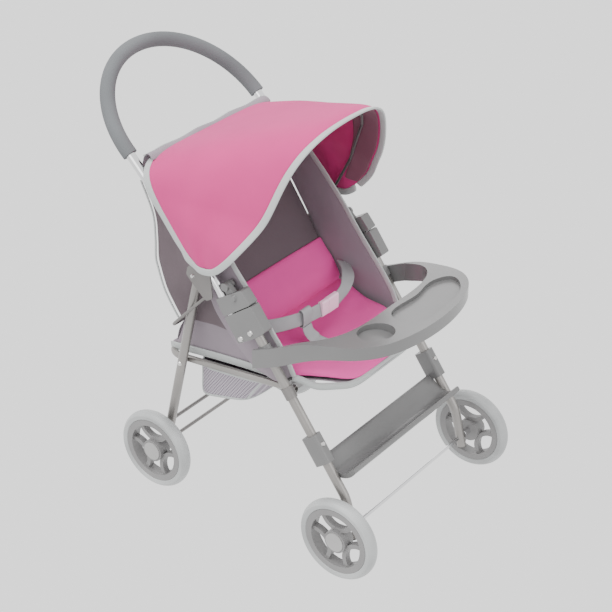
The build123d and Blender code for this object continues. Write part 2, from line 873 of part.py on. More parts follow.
def rear_leg_bracket():
    """The left plate on the handle tube that carries the rear leg's pivot."""
    outline = [
        handle_place(12, -7), handle_place(36, -7), handle_place(37, 20),
        handle_place(31, LEG_PIVOT_DROP + 8), handle_place(16, LEG_PIVOT_DROP + 8),
        handle_place(-12, 27), handle_place(-15, 14),
    ]
    with BuildPart() as bracket:
        with BuildSketch(cross_plane(-FRAME_X, handle_place(12, 0), HANDLE_PITCH)):
            Circle(TUBE_R + RUN + PLATE_T)
            Circle(TUBE_R + RUN, mode=Mode.SUBTRACT)
        extrude(amount=24)
        with BuildSketch(side_plane(PLATE_OUT_X)) as profile:
            with BuildLine():
                Polyline(*outline, close=True)
            make_face()
            fillet(profile.vertices(), 5.0)
        extrude(amount=PLATE_T)
        for place in (BRACKET_PIN, LEG_PIVOT):
            with BuildSketch(side_plane(PLATE_OUT_X - 1)):
                with Locations(place):
                    Circle(RIVET_D * 0.4 + RUN)
            extrude(amount=TUBE_D + 8, mode=Mode.SUBTRACT)
    return bracket.part


save_pair(rear_leg_bracket(), "rear_leg_bracket")

BOW_EYE_T = 3.0
BOW_X = -PLATE_OUT_X + FIT + WIRE_D / 2


def bracket_rivets():
    """The pins of both rear leg pivots, and the pins the canopy bow turns on."""
    pin_d = RIVET_D * 0.8
    pieces = []
    leg_pin_end = -REAR_LEG_X + TUBE_R + FIT
    with BuildPart() as leg_pin:
        add(pin(LEG_PIVOT, pin_d, PLATE_OUT_X, leg_pin_end))
        with BuildSketch(side_plane(PLATE_OUT_X + PLATE_T)):
            with Locations(LEG_PIVOT):
                Circle(4.5)
        extrude(amount=-REAR_LEG_X - TUBE_R - FIT - PLATE_OUT_X - PLATE_T)
    bow_pin_start = -BOW_X - BOW_EYE_T / 2 - FIT
    bow_pin = pin(BRACKET_PIN, pin_d, bow_pin_start, -FRAME_X + TUBE_R + PLATE_T + FIT)
    for piece in (leg_pin.part, bow_pin):
        pieces.append(piece)
        pieces.append(mirror(piece, about=Plane.YZ))
    return Compound(children=pieces)


save(bracket_rivets(), "bracket_rivets")


def seat_back():
    """The seat back: a sloping front panel and a fuller rear panel."""
    half = BACK_W / 2
    with BuildPart() as back:
        with BuildSketch(side_plane(-half)):
            with BuildLine():
                front = Spline(at(199, 262), at(216, 284), at(238, 307), at(266, 352), at(331, 449))
                rear = Spline(
                    at(343, 446), at(334, 424), at(327, 395), at(327, 345), at(314, 300), at(284, 258)
                )
                Line(front @ 1, rear @ 0)
                Line(rear @ 1, front @ 0)
            make_face()
        extrude(amount=2 * half)
        with BuildSketch(side_plane(-half + BACK_SKIN)):
            with BuildLine():
                Polyline(
                    at(214, 268), at(238, 297), at(256, 324), at(330, 432),
                    at(324, 395), at(323, 345), at(309, 298), at(284, 264), close=True,
                )
            make_face()
        extrude(amount=2 * half - 2 * BACK_SKIN, mode=Mode.SUBTRACT)
    return back.part


save(seat_back(), "seat_back")


def latch():
    """The left latch that slides on the handle tube above the fold housing."""
    low = PIVOT_ALONG - LOCK_BELOW + LOCK_HEIGHT + LATCH_GAP
    top = low + LATCH_HEIGHT
    rear = TUBE_SPACING + LOCK_REAR
    peg = leg_place(top + 9, 8)
    outline = [
        leg_place(low, -LOCK_FRONT), leg_place(low, rear),
        leg_place(top, rear - 2), leg_place(top - 3, -LOCK_FRONT + 2),
    ]
    lug = [leg_place(top - 5, -1), leg_place(top - 5, 14), leg_place(top + 10, 13), leg_place(top + 10, 3)]
    with BuildPart() as slider:
        with BuildSketch(side_plane(OUTER_X)) as profile:
            with BuildLine():
                Polyline(*outline, close=True)
            make_face()
            fillet(profile.vertices(), 2.5)
        extrude(amount=LOCK_W)
        fillet(slider.faces().filter_by(Axis.X).edges(), 0.9)
        add(plate(lug, 2.0, -FRAME_X - 3.5, -FRAME_X + 3.5))
        rings = ((-6.5, 3.6), (-1.8, 3.6), (4.9, 3.6))
        for start, length, diameter in ((-6.5, 15.0, PEG_D - 1.4), *[(*ring, PEG_D) for ring in rings]):
            with BuildSketch(side_plane(-FRAME_X + start)):
                with Locations(peg):
                    Circle(diameter / 2)
            extrude(amount=length)
        with BuildSketch(side_plane(OUTER_X)):
            with Locations(leg_place(top - 8, -0.5)):
                Circle(5.2)
        extrude(amount=-2.6, taper=28)
        with BuildSketch(cross_plane(-FRAME_X, leg_place(low - 5, TUBE_SPACING), LEG_PITCH)):
            Circle(TUBE_R + FIT)
        extrude(amount=LATCH_HEIGHT + 40, mode=Mode.SUBTRACT)
    return slider.part


save_pair(latch(), "latch")

# ---------------------------------------------------------------------------
# Canopy, pivoted on the bracket pins
# ---------------------------------------------------------------------------


def arch_points(half, height, roundness, count, base=0.0, narrow=0.0):
    """Points of a squarish arch: sideways place and height, right to left."""
    points = []
    for i in range(count + 1):
        turn = pi * i / count
        side = abs(cos(turn)) ** (2 / roundness) * (1 if cos(turn) > 0 else -1)
        rise = base + (height - base) * sin(turn) ** (2 / roundness)
        reach = half - narrow * min(max((rise - 60) / 60, 0), 1)
        points.append((reach * side, rise))
    return points


def bow_plane(pitch):
    """The plane of a canopy section, hinged on the bracket pins."""
    return Plane(origin=(0, *BRACKET_PIN), x_dir=(1, 0, 0),
                 z_dir=(0, -sin(radians(pitch)), cos(radians(pitch))))


def canopy_loft(shrink, base):
    """A solid between the canopy's rear and front sections, smaller by the shrink."""
    with BuildPart() as solid:
        for section, narrow in ((CANOPY_REAR, 0.0), (CANOPY_FRONT, CANOPY_NARROW)):
            pitch, height, roundness = section
            points = arch_points(
                CANOPY_W / 2 - shrink, height - shrink, roundness, 16, base, narrow
            )
            with BuildSketch(bow_plane(pitch)):
                with BuildLine():
                    arch = Spline(*points)
                    Line(arch @ 1, arch @ 0)
                make_face()
        loft()
    return solid.part


CANOPY_BASE = 10.0
BOW_SLACK = 4.0
BOW_DROP = 12.0
BOW_NARROW = CANOPY_NARROW + 4.0
BOW_STRAIGHT = 20.0


def canopy_fabric():
    """The canopy cover: one curved sheet, open at the front, back and below."""
    with BuildPart() as cover:
        add(canopy_loft(0, CANOPY_BASE))
        add(canopy_loft(CANOPY_T, CANOPY_BASE - 2), mode=Mode.SUBTRACT)
    return cover.part


save(canopy_fabric(), "canopy_fabric")


def bow_eye(way):
    """The flat eye at a bow's end."""
    with BuildPart() as eye:
        with BuildSketch(side_plane(way * BOW_X - BOW_EYE_T / 2)):
            with Locations(BRACKET_PIN):
                Circle(4.6)
                Circle(RIVET_D * 0.4 + RUN, mode=Mode.SUBTRACT)
        extrude(amount=BOW_EYE_T)
    return eye.part


def canopy_front_bow():
    """The hinged front bow of the canopy."""
    pitch, height, roundness = CANOPY_FRONT
    pitch -= 2.5
    inner = height - CANOPY_T - WIRE_D - BOW_SLACK - BOW_DROP
    flat = arch_points(BOW_X, inner, roundness, 12, 0.0, BOW_NARROW)[1:-1]
    flat = [(BOW_X, 4.0), (BOW_X, BOW_STRAIGHT), *flat, (-BOW_X, BOW_STRAIGHT), (-BOW_X, 4.0)]
    points = [(x, *step(BRACKET_PIN, v, pitch)) for x, v in flat]
    with BuildPart() as bow:
        add(tube(points, 12, WIRE_D))
        add(bow_eye(-1))
        add(bow_eye(1))
        with BuildSketch(side_plane(-BOW_X - 3)):
            with Locations(BRACKET_PIN):
                Circle(RIVET_D * 0.4 + RUN)
        extrude(amount=2 * BOW_X + 6, mode=Mode.SUBTRACT)
    return bow.part


save(canopy_front_bow(), "canopy_front_bow")

REAR_CLIP_ALONG = 122.0


def canopy_rear_bow():
    """The fixed rear wire of the canopy between the handle's sides."""
    pitch, height, roundness = CANOPY_REAR
    low = handle_place(REAR_CLIP_ALONG, 0)
    inner = height - CANOPY_T - WIRE_D - BOW_SLACK
    flat = [p for p in arch_points(BOW_X, inner, roundness, 12) if p[1] > 0.75 * inner]
    arch = [(x, *step(BRACKET_PIN, v, pitch + 3)) for x, v in flat]
    points = [(BOW_X, *low), *arch, (-BOW_X, *low)]
    return tube(points, 8, WIRE_D)


save(canopy_rear_bow(), "canopy_rear_bow")


def canopy_clips():
    """The two clips on the handle tube that hold the rear wire."""
    pieces = []
    for way in (-1, 1):
        low = handle_place(REAR_CLIP_ALONG - 7, 0)
        with BuildPart() as clip:
            with BuildSketch(cross_plane(way * FRAME_X, low, HANDLE_PITCH)):
                Circle(TUBE_R + RUN + PLATE_T)
                Circle(TUBE_R + RUN, mode=Mode.SUBTRACT)
            extrude(amount=14)
        pieces.append(clip.part)
    return Compound(children=pieces)


save(canopy_clips(), "canopy_clips")

# ---------------------------------------------------------------------------
# Rear frame
# ---------------------------------------------------------------------------

REAR_TOP_SPARE = 8.0
REAR_FOOT_SPARE = 11.0
CROSS_ROD = step(REAR_AXLE, CROSS_ROD_RISE, REAR_LEG_PITCH)
REAR_FOOT = step(REAR_AXLE, -REAR_FOOT_SPARE, REAR_LEG_PITCH)
REAR_TOP = step(LEG_PIVOT, REAR_TOP_SPARE, REAR_LEG_PITCH)


def rear_leg():
    """The left rear leg, drilled for its pivots, the axle and the cross rod."""
    leg = tube([(-REAR_LEG_X, *REAR_FOOT), (-REAR_LEG_X, *REAR_TOP)], None, TUBE_D, TUBE_WALL)
    holes = (
        (LEG_PIVOT, RIVET_D * 0.8), (LINK_PIVOT, RIVET_D * 0.8),
        (REAR_AXLE, AXLE_D), (CROSS_ROD, AXLE_D),
    )
    for place, diameter in holes:
        leg = drill(leg, place, diameter + 2 * RUN, -REAR_LEG_X - TUBE_D, -REAR_LEG_X + TUBE_D)
    return leg


save_pair(rear_leg(), "rear_leg")
save(both_plugs(REAR_FOOT, REAR_LEG_PITCH, REAR_LEG_X), "rear_leg_plugs")
save(axle(REAR_AXLE, REAR_AXLE_HALF, REAR_LEG_X), "rear_axle")
save(
    across_rod(CROSS_ROD, AXLE_D, REAR_LEG_X + TUBE_R + RUN, RIVET_HEAD_D, RIVET_HEAD_T),
    "rear_cross_rod",
)


def link_rivets():
    """The rivets on the rear legs where the basket hoop links to them."""
    low = -REAR_LEG_X - TUBE_R
    left = pin(LINK_PIVOT, RIVET_D * 0.8, low, -REAR_LEG_X + TUBE_R, True, False)
    return Compound(children=[left, mirror(left, about=Plane.YZ)])


save(link_rivets(), "link_rivets")

WIRE_X = -PLATE_OUT_X - PLATE_T - FIT - WIRE_D / 2


def back_wire():
    """The wire hoop behind the foot of the seat back."""
    top = at(226, 326)
    foot = at(299, 250)
    points = [(-WIRE_X, *top), (-WIRE_X, *foot), (WIRE_X, *foot), (WIRE_X, *top)]
    return tube(points, 24, WIRE_D)


save(back_wire(), "back_wire")

# ---------------------------------------------------------------------------
# Basket
# ---------------------------------------------------------------------------

HOOP_PITCH = degrees(atan2(LINK_PIVOT[1] - HOOP_PIVOT[1], LINK_PIVOT[0] - HOOP_PIVOT[0]))
HOOP_LENGTH = (at(HOOP_REAR, 0)[0] - HOOP_PIVOT[0]) / cos(radians(HOOP_PITCH))


def basket_hoop():
    """The U-shaped tube that holds the basket."""
    front = step(HOOP_PIVOT, -6.0, HOOP_PITCH)
    rear = step(HOOP_PIVOT, HOOP_LENGTH, HOOP_PITCH)
    points = [(-HOOP_X, *front), (-HOOP_X, *rear), (HOOP_X, *rear), (HOOP_X, *front)]
    hoop = tube(points, HOOP_CORNER, HOOP_TUBE_D, TUBE_WALL)
    return drill(hoop, HOOP_PIVOT, RIVET_D, -HOOP_X - HOOP_TUBE_D, HOOP_X + HOOP_TUBE_D)


save(basket_hoop(), "basket_hoop")


def basket_section(inset, lift):
    """The basket's side outline, smaller by an inset and taller by a lift."""
    return [
        step(HOOP_PIVOT, 34 + inset, HOOP_PITCH),
        at(187 + inset * 0.8, 161 + inset),
        at(283 - inset, 142 + inset),
        step(HOOP_PIVOT, 170 - inset, HOOP_PITCH),
        step(step(HOOP_PIVOT, 170 - inset, HOOP_PITCH), lift, 90),
        step(step(HOOP_PIVOT, 34 + inset, HOOP_PITCH), lift, 90),
    ]


def basket_fabric():
    """The mesh basket, open at the top."""
    half = BASKET_W / 2
    with BuildPart() as basket:
        with BuildSketch(side_plane(-half)) as profile:
            with BuildLine():
                Polyline(*basket_section(0, 0)[:4], close=True)
            make_face()
        extrude(amount=2 * half)
        with BuildSketch(side_plane(-half + FABRIC_T)):
            with BuildLine():
                Polyline(*basket_section(FABRIC_T, 30), close=True)
            make_face()
        extrude(amount=2 * half - 2 * FABRIC_T, mode=Mode.SUBTRACT)
    return basket.part


save(basket_fabric(), "basket_fabric")

# ---------------------------------------------------------------------------
# Wheels
# ---------------------------------------------------------------------------


def hub(place, x, way):
    """A spoked wheel centre: rim, three curved bands and a hub with a bore."""
    wheel = Plane(origin=(x, *place), x_dir=(0, 0, 1), z_dir=(1, 0, 0))
    with BuildPart() as body:
        with BuildSketch(wheel.offset(-SPOKE_W / 2)):
            with PolarLocations(BAND_RING_D / 2 + HUB_D / 2 - 2.0, 3):
                Circle(BAND_RING_D / 2)
                Circle(BAND_RING_D / 2 - BAND_WALL, mode=Mode.SUBTRACT)
            Circle(RIM_D / 2 - RIM_WALL / 2, mode=Mode.INTERSECT)
        extrude(amount=SPOKE_W)
        with BuildSketch(wheel.offset(-RIM_W / 2)):
            Circle(RIM_D / 2)
            Circle(RIM_D / 2 - RIM_WALL, mode=Mode.SUBTRACT)
        extrude(amount=RIM_W)
        with BuildSketch(wheel.offset(-HUB_W / 2)):
            Circle(HUB_D / 2)
        extrude(amount=HUB_W)
        with BuildSketch(wheel.offset(way * HUB_W / 2)):
            Circle(CAP_D / 2 + RUN)
        extrude(amount=-way * CAP_ROOM, mode=Mode.SUBTRACT)
        with BuildSketch(wheel.offset(-HUB_W)):
            Circle(AXLE_D / 2 + RUN)
        extrude(amount=2 * HUB_W, mode=Mode.SUBTRACT)
    return body.part


def tyre(place, x):
    """A plain tyre with a rounded tread."""
    half = TYRE_W / 2
    seat = RIM_D / 2 + RUN
    with BuildPart() as ring:
        with BuildSketch(Plane(origin=(x, *place), x_dir=(0, 0, 1), z_dir=(0, 1, 0))) as profile:
            with BuildLine():
                crown = ThreePointArc((WHEEL_R - 4.5, -half), (WHEEL_R, 0), (WHEEL_R - 4.5, half))
                Polyline(crown @ 1, (seat, half - 1.0), (seat, -half + 1.0), crown @ 0)
            make_face()
            fillet(profile.vertices().group_by(Axis.Z)[-1], 2.0)
        revolve(axis=Axis((x, *place), (1, 0, 0)))
    return ring.part


def cap(place, x, way):
    """The round cover over an axle's end."""
    wheel = Plane(origin=(x, *place), x_dir=(0, 0, 1), z_dir=(1, 0, 0))
    with BuildPart() as cover:
        with BuildSketch(wheel.offset(way * (HUB_W / 2 - CAP_ROOM + 0.8))):
            Circle(CAP_D / 2)
        extrude(amount=way * CAP_T, taper=8)
    return cover.part


for end, place, track in (("front", FRONT_AXLE, FRONT_TRACK), ("rear", REAR_AXLE, REAR_TRACK)):
    for side, way in (("left", -1), ("right", 1)):
        wheel_x = way * track / 2
        save(hub(place, wheel_x, way), f"hub_{end}_{side}")
        save(tyre(place, wheel_x), f"tyre_{end}_{side}")
        save(cap(place, wheel_x, way), f"hub_cap_{end}_{side}")

print("front axle y", round(Y0, 3), "height of grip", round(ARCH_TOP[1] + GRIP_D / 2, 2))
print("fold pivot", PIVOT, "leg pivot", LEG_PIVOT, "hoop pivot", HOOP_PIVOT, "link", LINK_PIVOT)
print("canopy pivot", BRACKET_PIN, "rear axle", REAR_AXLE)
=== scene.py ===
"""Doll stroller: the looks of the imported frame, in metres, in the frame of the CAD part."""

import math

import bpy
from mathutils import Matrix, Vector, noise


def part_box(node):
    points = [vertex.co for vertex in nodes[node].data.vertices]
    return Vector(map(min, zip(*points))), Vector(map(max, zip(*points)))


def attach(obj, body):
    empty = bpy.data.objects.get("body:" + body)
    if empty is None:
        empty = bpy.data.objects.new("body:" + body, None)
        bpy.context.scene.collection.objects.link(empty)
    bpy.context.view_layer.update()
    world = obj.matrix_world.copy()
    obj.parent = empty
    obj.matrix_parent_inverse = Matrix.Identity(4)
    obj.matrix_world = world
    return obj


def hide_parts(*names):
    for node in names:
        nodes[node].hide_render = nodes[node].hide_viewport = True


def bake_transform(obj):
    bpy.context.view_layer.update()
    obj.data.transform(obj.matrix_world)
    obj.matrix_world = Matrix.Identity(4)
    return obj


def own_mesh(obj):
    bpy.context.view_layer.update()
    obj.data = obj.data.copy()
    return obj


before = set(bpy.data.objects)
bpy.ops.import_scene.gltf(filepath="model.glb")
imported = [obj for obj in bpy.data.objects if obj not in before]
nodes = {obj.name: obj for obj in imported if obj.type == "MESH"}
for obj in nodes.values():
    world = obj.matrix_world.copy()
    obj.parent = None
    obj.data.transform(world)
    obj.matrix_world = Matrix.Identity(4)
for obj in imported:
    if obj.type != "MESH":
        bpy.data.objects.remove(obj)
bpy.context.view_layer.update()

# ---------------------------------------------------------------------------
# Places
# ---------------------------------------------------------------------------

FRONT_AXLE_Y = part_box("front_axle")[0].y + 0.005
HOOP_PIVOT_YZ = (108.8, 218.4)
HOOP_SLOPE = -0.1107
BOW_PIN_YZ = (233.8, 362.1)


def at(x, y, z):
    """A point from millimetres measured back from the front axle and up from the ground."""
    return Vector((x / 1000, y / 1000 + FRONT_AXLE_Y, z / 1000))


def mix(a, b, t):
    return a + (b - a) * t


def rail_z(y):
    """Height of the basket rail's middle line."""
    return HOOP_PIVOT_YZ[1] + (y - HOOP_PIVOT_YZ[0]) * HOOP_SLOPE


def smooth_path(points, count, closed=False):
    """A smooth line through the points, as that many evenly spaced points."""
    points = [Vector(p) for p in points]
    n = len(points)
    dense = []
    spans = n if closed else n - 1
    for i in range(spans):
        if closed:
            p0, p1, p2, p3 = points[i - 1], points[i], points[(i + 1) % n], points[(i + 2) % n]
        else:
            p1, p2 = points[i], points[i + 1]
            p0 = points[i - 1] if i > 0 else p1 * 2 - p2
            p3 = points[i + 2] if i + 2 < n else p2 * 2 - p1
        for k in range(16):
            t = k / 16
            dense.append(
                0.5
                * (
                    2 * p1
                    + (p2 - p0) * t
                    + (2 * p0 - 5 * p1 + 4 * p2 - p3) * t * t
                    + (3 * p1 - p0 - 3 * p2 + p3) * t**3
                )
            )
    dense.append(points[0].copy() if closed else points[-1].copy())
    lengths = [0.0]
    for a, b in zip(dense, dense[1:]):
        lengths.append(lengths[-1] + (b - a).length)
    out = []
    steps = count if closed else count - 1
    j = 0
    for i in range(count):
        want = lengths[-1] * i / steps
        while j < len(lengths) - 2 and lengths[j + 1] < want:
            j += 1
        part = (want - lengths[j]) / max(lengths[j + 1] - lengths[j], 1e-9)
        out.append(mix(dense[j], dense[j + 1], min(max(part, 0), 1)))
    return out


def wobble(p, scale, seed=0.0):
    """Smooth noise from -1 to 1 at a place."""
    return noise.noise(Vector(p) * scale + Vector((seed, seed * 0.7, -seed)))


# ---------------------------------------------------------------------------
# Mesh builders
# ---------------------------------------------------------------------------


def mesh_object(name, verts, faces, material, smooth=True):
    mesh = bpy.data.meshes.new(name)
    mesh.from_pydata([tuple(v) for v in verts], [], faces)
    mesh.validate()
    mesh.update()
    for polygon in mesh.polygons:
        polygon.use_smooth = smooth
    obj = bpy.data.objects.new(name, mesh)
    bpy.context.scene.collection.objects.link(obj)
    for one in material if isinstance(material, list) else [material]:
        obj.data.materials.append(one)
    return obj


def bake(obj):
    """Applies the object's modifiers to its mesh."""
    bpy.context.view_layer.update()
    graph = bpy.context.evaluated_depsgraph_get()
    mesh = bpy.data.meshes.new_from_object(obj.evaluated_get(graph))
    obj.modifiers.clear()
    obj.data = mesh
    for polygon in mesh.polygons:
        polygon.use_smooth = True
    return obj


def grid_faces(rows, columns, closed=False):
    faces = []
    last = columns if closed else columns - 1
    for i in range(rows - 1):
        for j in range(last):
            k = (j + 1) % columns
            faces.append((i * columns + j, i * columns + k, (i + 1) * columns + k, (i + 1) * columns + j))
    return faces


def cloth(name, rows, material, thick=0.0012, subdivide=1):
    """A sheet of cloth over a grid of points."""
    verts = [p for row in rows for p in row]
    obj = mesh_object(name, verts, grid_faces(len(rows), len(rows[0])), material)
    solid = obj.modifiers.new("thick", "SOLIDIFY")
    solid.thickness = thick
    solid.offset = 0
    if subdivide:
        levels = obj.modifiers.new("smooth", "SUBSURF")
        levels.levels = subdivide
        levels.render_levels = subdivide
    return bake(obj)


def sweep(name, path, sides, ups, section, material, closed=False, caps=True):
    """Runs a closed section, as (sideways, up) pairs, along a path."""
    verts = []
    for p, side, up in zip(path, sides, ups):
        for a, b in section:
            verts.append(p + side * a + up * b)
    n = len(section)
    rows = len(path)
    faces = grid_faces(rows, n, closed=True)
    if closed:
        for j in range(n):
            k = (j + 1) % n
            faces.append(((rows - 1) * n + j, (rows - 1) * n + k, k, j))
    elif caps:
        faces.append(tuple(range(n))[::-1])
        faces.append(tuple((rows - 1) * n + j for j in range(n)))
    return mesh_object(name, verts, faces, material)


def tangents(path, closed=False):
    n = len(path)
    out = []
    for i in range(n):
        if closed:
            d = path[(i + 1) % n] - path[i - 1]
        else:
            d = path[min(i + 1, n - 1)] - path[max(i - 1, 0)]
        out.append(d.normalized())
    return out


def oval(width, height, count=12, power=0.6):
    """A rounded flat section, width across and height through."""
    out = []
    for i in range(count):
        a = 2 * math.pi * i / count
        c, s = math.cos(a), math.sin(a)
        out.append(
            (
                width / 2 * math.copysign(abs(c) ** power, c),
                height / 2 * math.copysign(abs(s) ** power, s),
            )
        )
    return out


def strap(name, path, normals, width, thick, material):
    """A flat strap along a path, lying flat on the normals."""
    ts = tangents(path)
    ups = []
    sides = []
    for t, n in zip(ts, normals):
        up = (n - t * n.dot(t)).normalized()
        ups.append(up)
        sides.append(t.cross(up).normalized())
    return sweep(name, path, sides, ups, oval(width, thick, 12, 0.35), material)


def round_tube(name, path, radius, material, count=12, closed=False):
    """A round tube along a path."""
    ts = tangents(path, closed)
    up = Vector((0.3, 0.2, 1.0))
    ups = []
    sides = []
    for t in ts:
        up = (up - t * up.dot(t)).normalized()
        ups.append(up.copy())
        sides.append(t.cross(up).normalized())
    section = [
        (radius * math.cos(2 * math.pi * i / count), radius * math.sin(2 * math.pi * i / count))
        for i in range(count)
    ]
    return sweep(name, path, sides, ups, section, material, closed=closed)


def tape(name, edge, inner, material, thick=0.0026, closed=False):
    """A binding folded over a cloth's edge, from the edge line and a line a little way in."""
    count = len(edge)
    ts = tangents(edge, closed)
    verts = []
    for i in range(count):
        inward = inner[i] - edge[i]
        reach = inward.length
        inward = (inward - ts[i] * inward.dot(ts[i])).normalized()
        up = ts[i].cross(inward).normalized()
        swell = thick / 2 * (1 + 0.12 * wobble(edge[i], 60, 3))
        ring = [
            (reach, 0.62),
            (reach * 0.93, 0.85),
            (reach * 0.5, 1.0),
            (reach * 0.08, 0.95),
            (-0.0008, 0.5),
        ]
        for d, h in ring:
            verts.append(edge[i] + inward * d + up * swell * h)
        for d, h in reversed(ring):
            verts.append(edge[i] + inward * d - up * swell * h)
    n = 10
    faces = grid_faces(count, n, closed=True)
    if closed:
        for j in range(n):
            k = (j + 1) % n
            faces.append(((count - 1) * n + j, (count - 1) * n + k, k, j))
    else:
        faces.append(tuple(range(n))[::-1])
        faces.append(tuple((count - 1) * n + j for j in range(n)))
    obj = mesh_object(name, verts, faces, material)
    fix = obj.modifiers.new("smooth", "SUBSURF")
    fix.levels = 1
    fix.render_levels = 1
    return bake(obj)


# ---------------------------------------------------------------------------
# Materials
# ---------------------------------------------------------------------------


def shade(name, color, rough, metal=0.0, **sockets):
    """A new material with its Principled shader set, and what to link more nodes to."""
    material = bpy.data.materials.new(name)
    material.use_nodes = True
    tree = material.node_tree
    shader = tree.nodes["Principled BSDF"]
    shader.inputs["Base Color"].default_value = (*color, 1)
    shader.inputs["Roughness"].default_value = rough
    shader.inputs["Metallic"].default_value = metal
    for socket, value in sockets.items():
        shader.inputs[socket.replace("_", " ")].default_value = value
    return material, tree, shader


def noise_node(tree, scale, detail=2.0, stretch=None):
    """A noise texture in object space."""
    place = tree.nodes.new("ShaderNodeTexCoord")
    texture = tree.nodes.new("ShaderNodeTexNoise")
    texture.inputs["Scale"].default_value = scale
    texture.inputs["Detail"].default_value = detail
    source = place.outputs["Object"]
    if stretch:
        mapping = tree.nodes.new("ShaderNodeMapping")
        mapping.inputs["Scale"].default_value = stretch
        tree.links.new(source, mapping.inputs["Vector"])
        source = mapping.outputs["Vector"]
    tree.links.new(source, texture.inputs["Vector"])
    return texture


def add_bump(tree, shader, height, strength, distance, onto=None):
    bump = tree.nodes.new("ShaderNodeBump")
    bump.inputs["Strength"].default_value = strength
    bump.inputs["Distance"].default_value = distance
    tree.links.new(height, bump.inputs["Height"])
    if onto is not None:
        tree.links.new(onto, bump.inputs["Normal"])
    tree.links.new(bump.outputs["Normal"], shader.inputs["Normal"])
    return bump.outputs["Normal"]


def vary_color(tree, shader, texture, low, high, a=0.3, b=0.7):
    ramp = tree.nodes.new("ShaderNodeValToRGB")
    ramp.color_ramp.elements[0].position = a
    ramp.color_ramp.elements[1].position = b
    ramp.color_ramp.elements[0].color = (*low, 1)
    ramp.color_ramp.elements[1].color = (*high, 1)
    tree.links.new(texture.outputs["Fac"], ramp.inputs["Fac"])
    tree.links.new(ramp.outputs["Color"], shader.inputs["Base Color"])
    return ramp


def dim(color, factor):
    return tuple(c * factor for c in color)


def solid_material(name, color, rough, metal=0.0, grain=900.0, bump=0.12, spread=0.1, **sockets):
    """Paint, metal or plastic with a faint grain and unevenness."""
    material, tree, shader = shade(name, color, rough, metal, **sockets)
    vary_color(tree, shader, noise_node(tree, 14), dim(color, 1 - spread), dim(color, 1 + spread))
    fine = noise_node(tree, grain, 1)
    add_bump(tree, shader, fine.outputs["Fac"], bump, 0.0003)
    return material


def wave(tree, scale, direction, turn=(0, 0, 0)):
    """Fine parallel threads in object space."""
    place = tree.nodes.new("ShaderNodeTexCoord")
    mapping = tree.nodes.new("ShaderNodeMapping")
    mapping.inputs["Rotation"].default_value = turn
    texture = tree.nodes.new("ShaderNodeTexWave")
    texture.bands_direction = direction
    texture.inputs["Scale"].default_value = scale
    tree.links.new(place.outputs["Object"], mapping.inputs["Vector"])
    tree.links.new(mapping.outputs["Vector"], texture.inputs["Vector"])
    return texture


def fabric_material(name, color, through=0.0, weave=420.0, crease=0.35, dark=0.8, turn=(0.5, 0.6, 0.4)):
    """Woven cloth: threads, soft creases, a little sheen and some light through it."""
    material, tree, shader = shade(name, color, 0.85)
    shader.inputs["Sheen Weight"].default_value = 0.08
    shader.inputs["Sheen Roughness"].default_value = 0.5
    shader.inputs["Specular IOR Level"].default_value = 0.25
    ramp = vary_color(tree, shader, noise_node(tree, 9, 3), dim(color, dark), color)
    a = wave(tree, weave, "X", turn)
    b = wave(tree, weave, "Z", turn)
    join = tree.nodes.new("ShaderNodeMath")
    join.operation = "MULTIPLY"
    tree.links.new(a.outputs["Fac"], join.inputs[0])
    tree.links.new(b.outputs["Fac"], join.inputs[1])
    threads = add_bump(tree, shader, join.outputs["Value"], 0.25, 0.0004)
    folds = noise_node(tree, 22, 3, (1.0, 1.0, 0.45))
    add_bump(tree, shader, folds.outputs["Fac"], crease, 0.006, threads)
    if through:
        clear = tree.nodes.new("ShaderNodeBsdfTranslucent")
        blend = tree.nodes.new("ShaderNodeMixShader")
        blend.inputs["Fac"].default_value = through
        tree.links.new(ramp.outputs["Color"], clear.inputs["Color"])
        tree.links.new(shader.outputs["BSDF"], blend.inputs[1])
        tree.links.new(clear.outputs["BSDF"], blend.inputs[2])
        tree.links.new(blend.outputs["Shader"], tree.nodes["Material Output"].inputs["Surface"])
    return material


def webbing_material(name, color):
    """Belt webbing, ribbed across."""
    material, tree, shader = shade(name, color, 0.75)
    vary_color(tree, shader, noise_node(tree, 30), dim(color, 0.86), color)
    rib = wave(tree, 330, "DIAGONAL", (0.3, 0.4, 0.2))
    add_bump(tree, shader, rib.outputs["Fac"], 0.4, 0.0005)
    return material


def mesh_material(name, color, gap):
    """Open netting: pale threads crossing on the slant over darker gaps."""
    material, tree, shader = shade(name, color, 0.8)
    a = wave(tree, 95, "Y", (math.radians(38), 0, 0))
    b = wave(tree, 95, "Y", (math.radians(-38), 0, 0))
    join = tree.nodes.new("ShaderNodeMath")
    join.operation = "MAXIMUM"
    tree.links.new(a.outputs["Fac"], join.inputs[0])
    tree.links.new(b.outputs["Fac"], join.inputs[1])
    ramp = tree.nodes.new("ShaderNodeValToRGB")
    ramp.color_ramp.elements[0].position = 0.62
    ramp.color_ramp.elements[1].position = 0.86
    ramp.color_ramp.elements[0].color = (*gap, 1)
    ramp.color_ramp.elements[1].color = (*color, 1)
    tree.links.new(join.outputs["Value"], ramp.inputs["Fac"])
    tree.links.new(ramp.outputs["Color"], shader.inputs["Base Color"])
    add_bump(tree, shader, join.outputs["Value"], 0.5, 0.0008)
    return material


PINK = (0.64, 0.05, 0.235)
LILAC = (0.265, 0.225, 0.258)
PALE = (0.44, 0.46, 0.455)

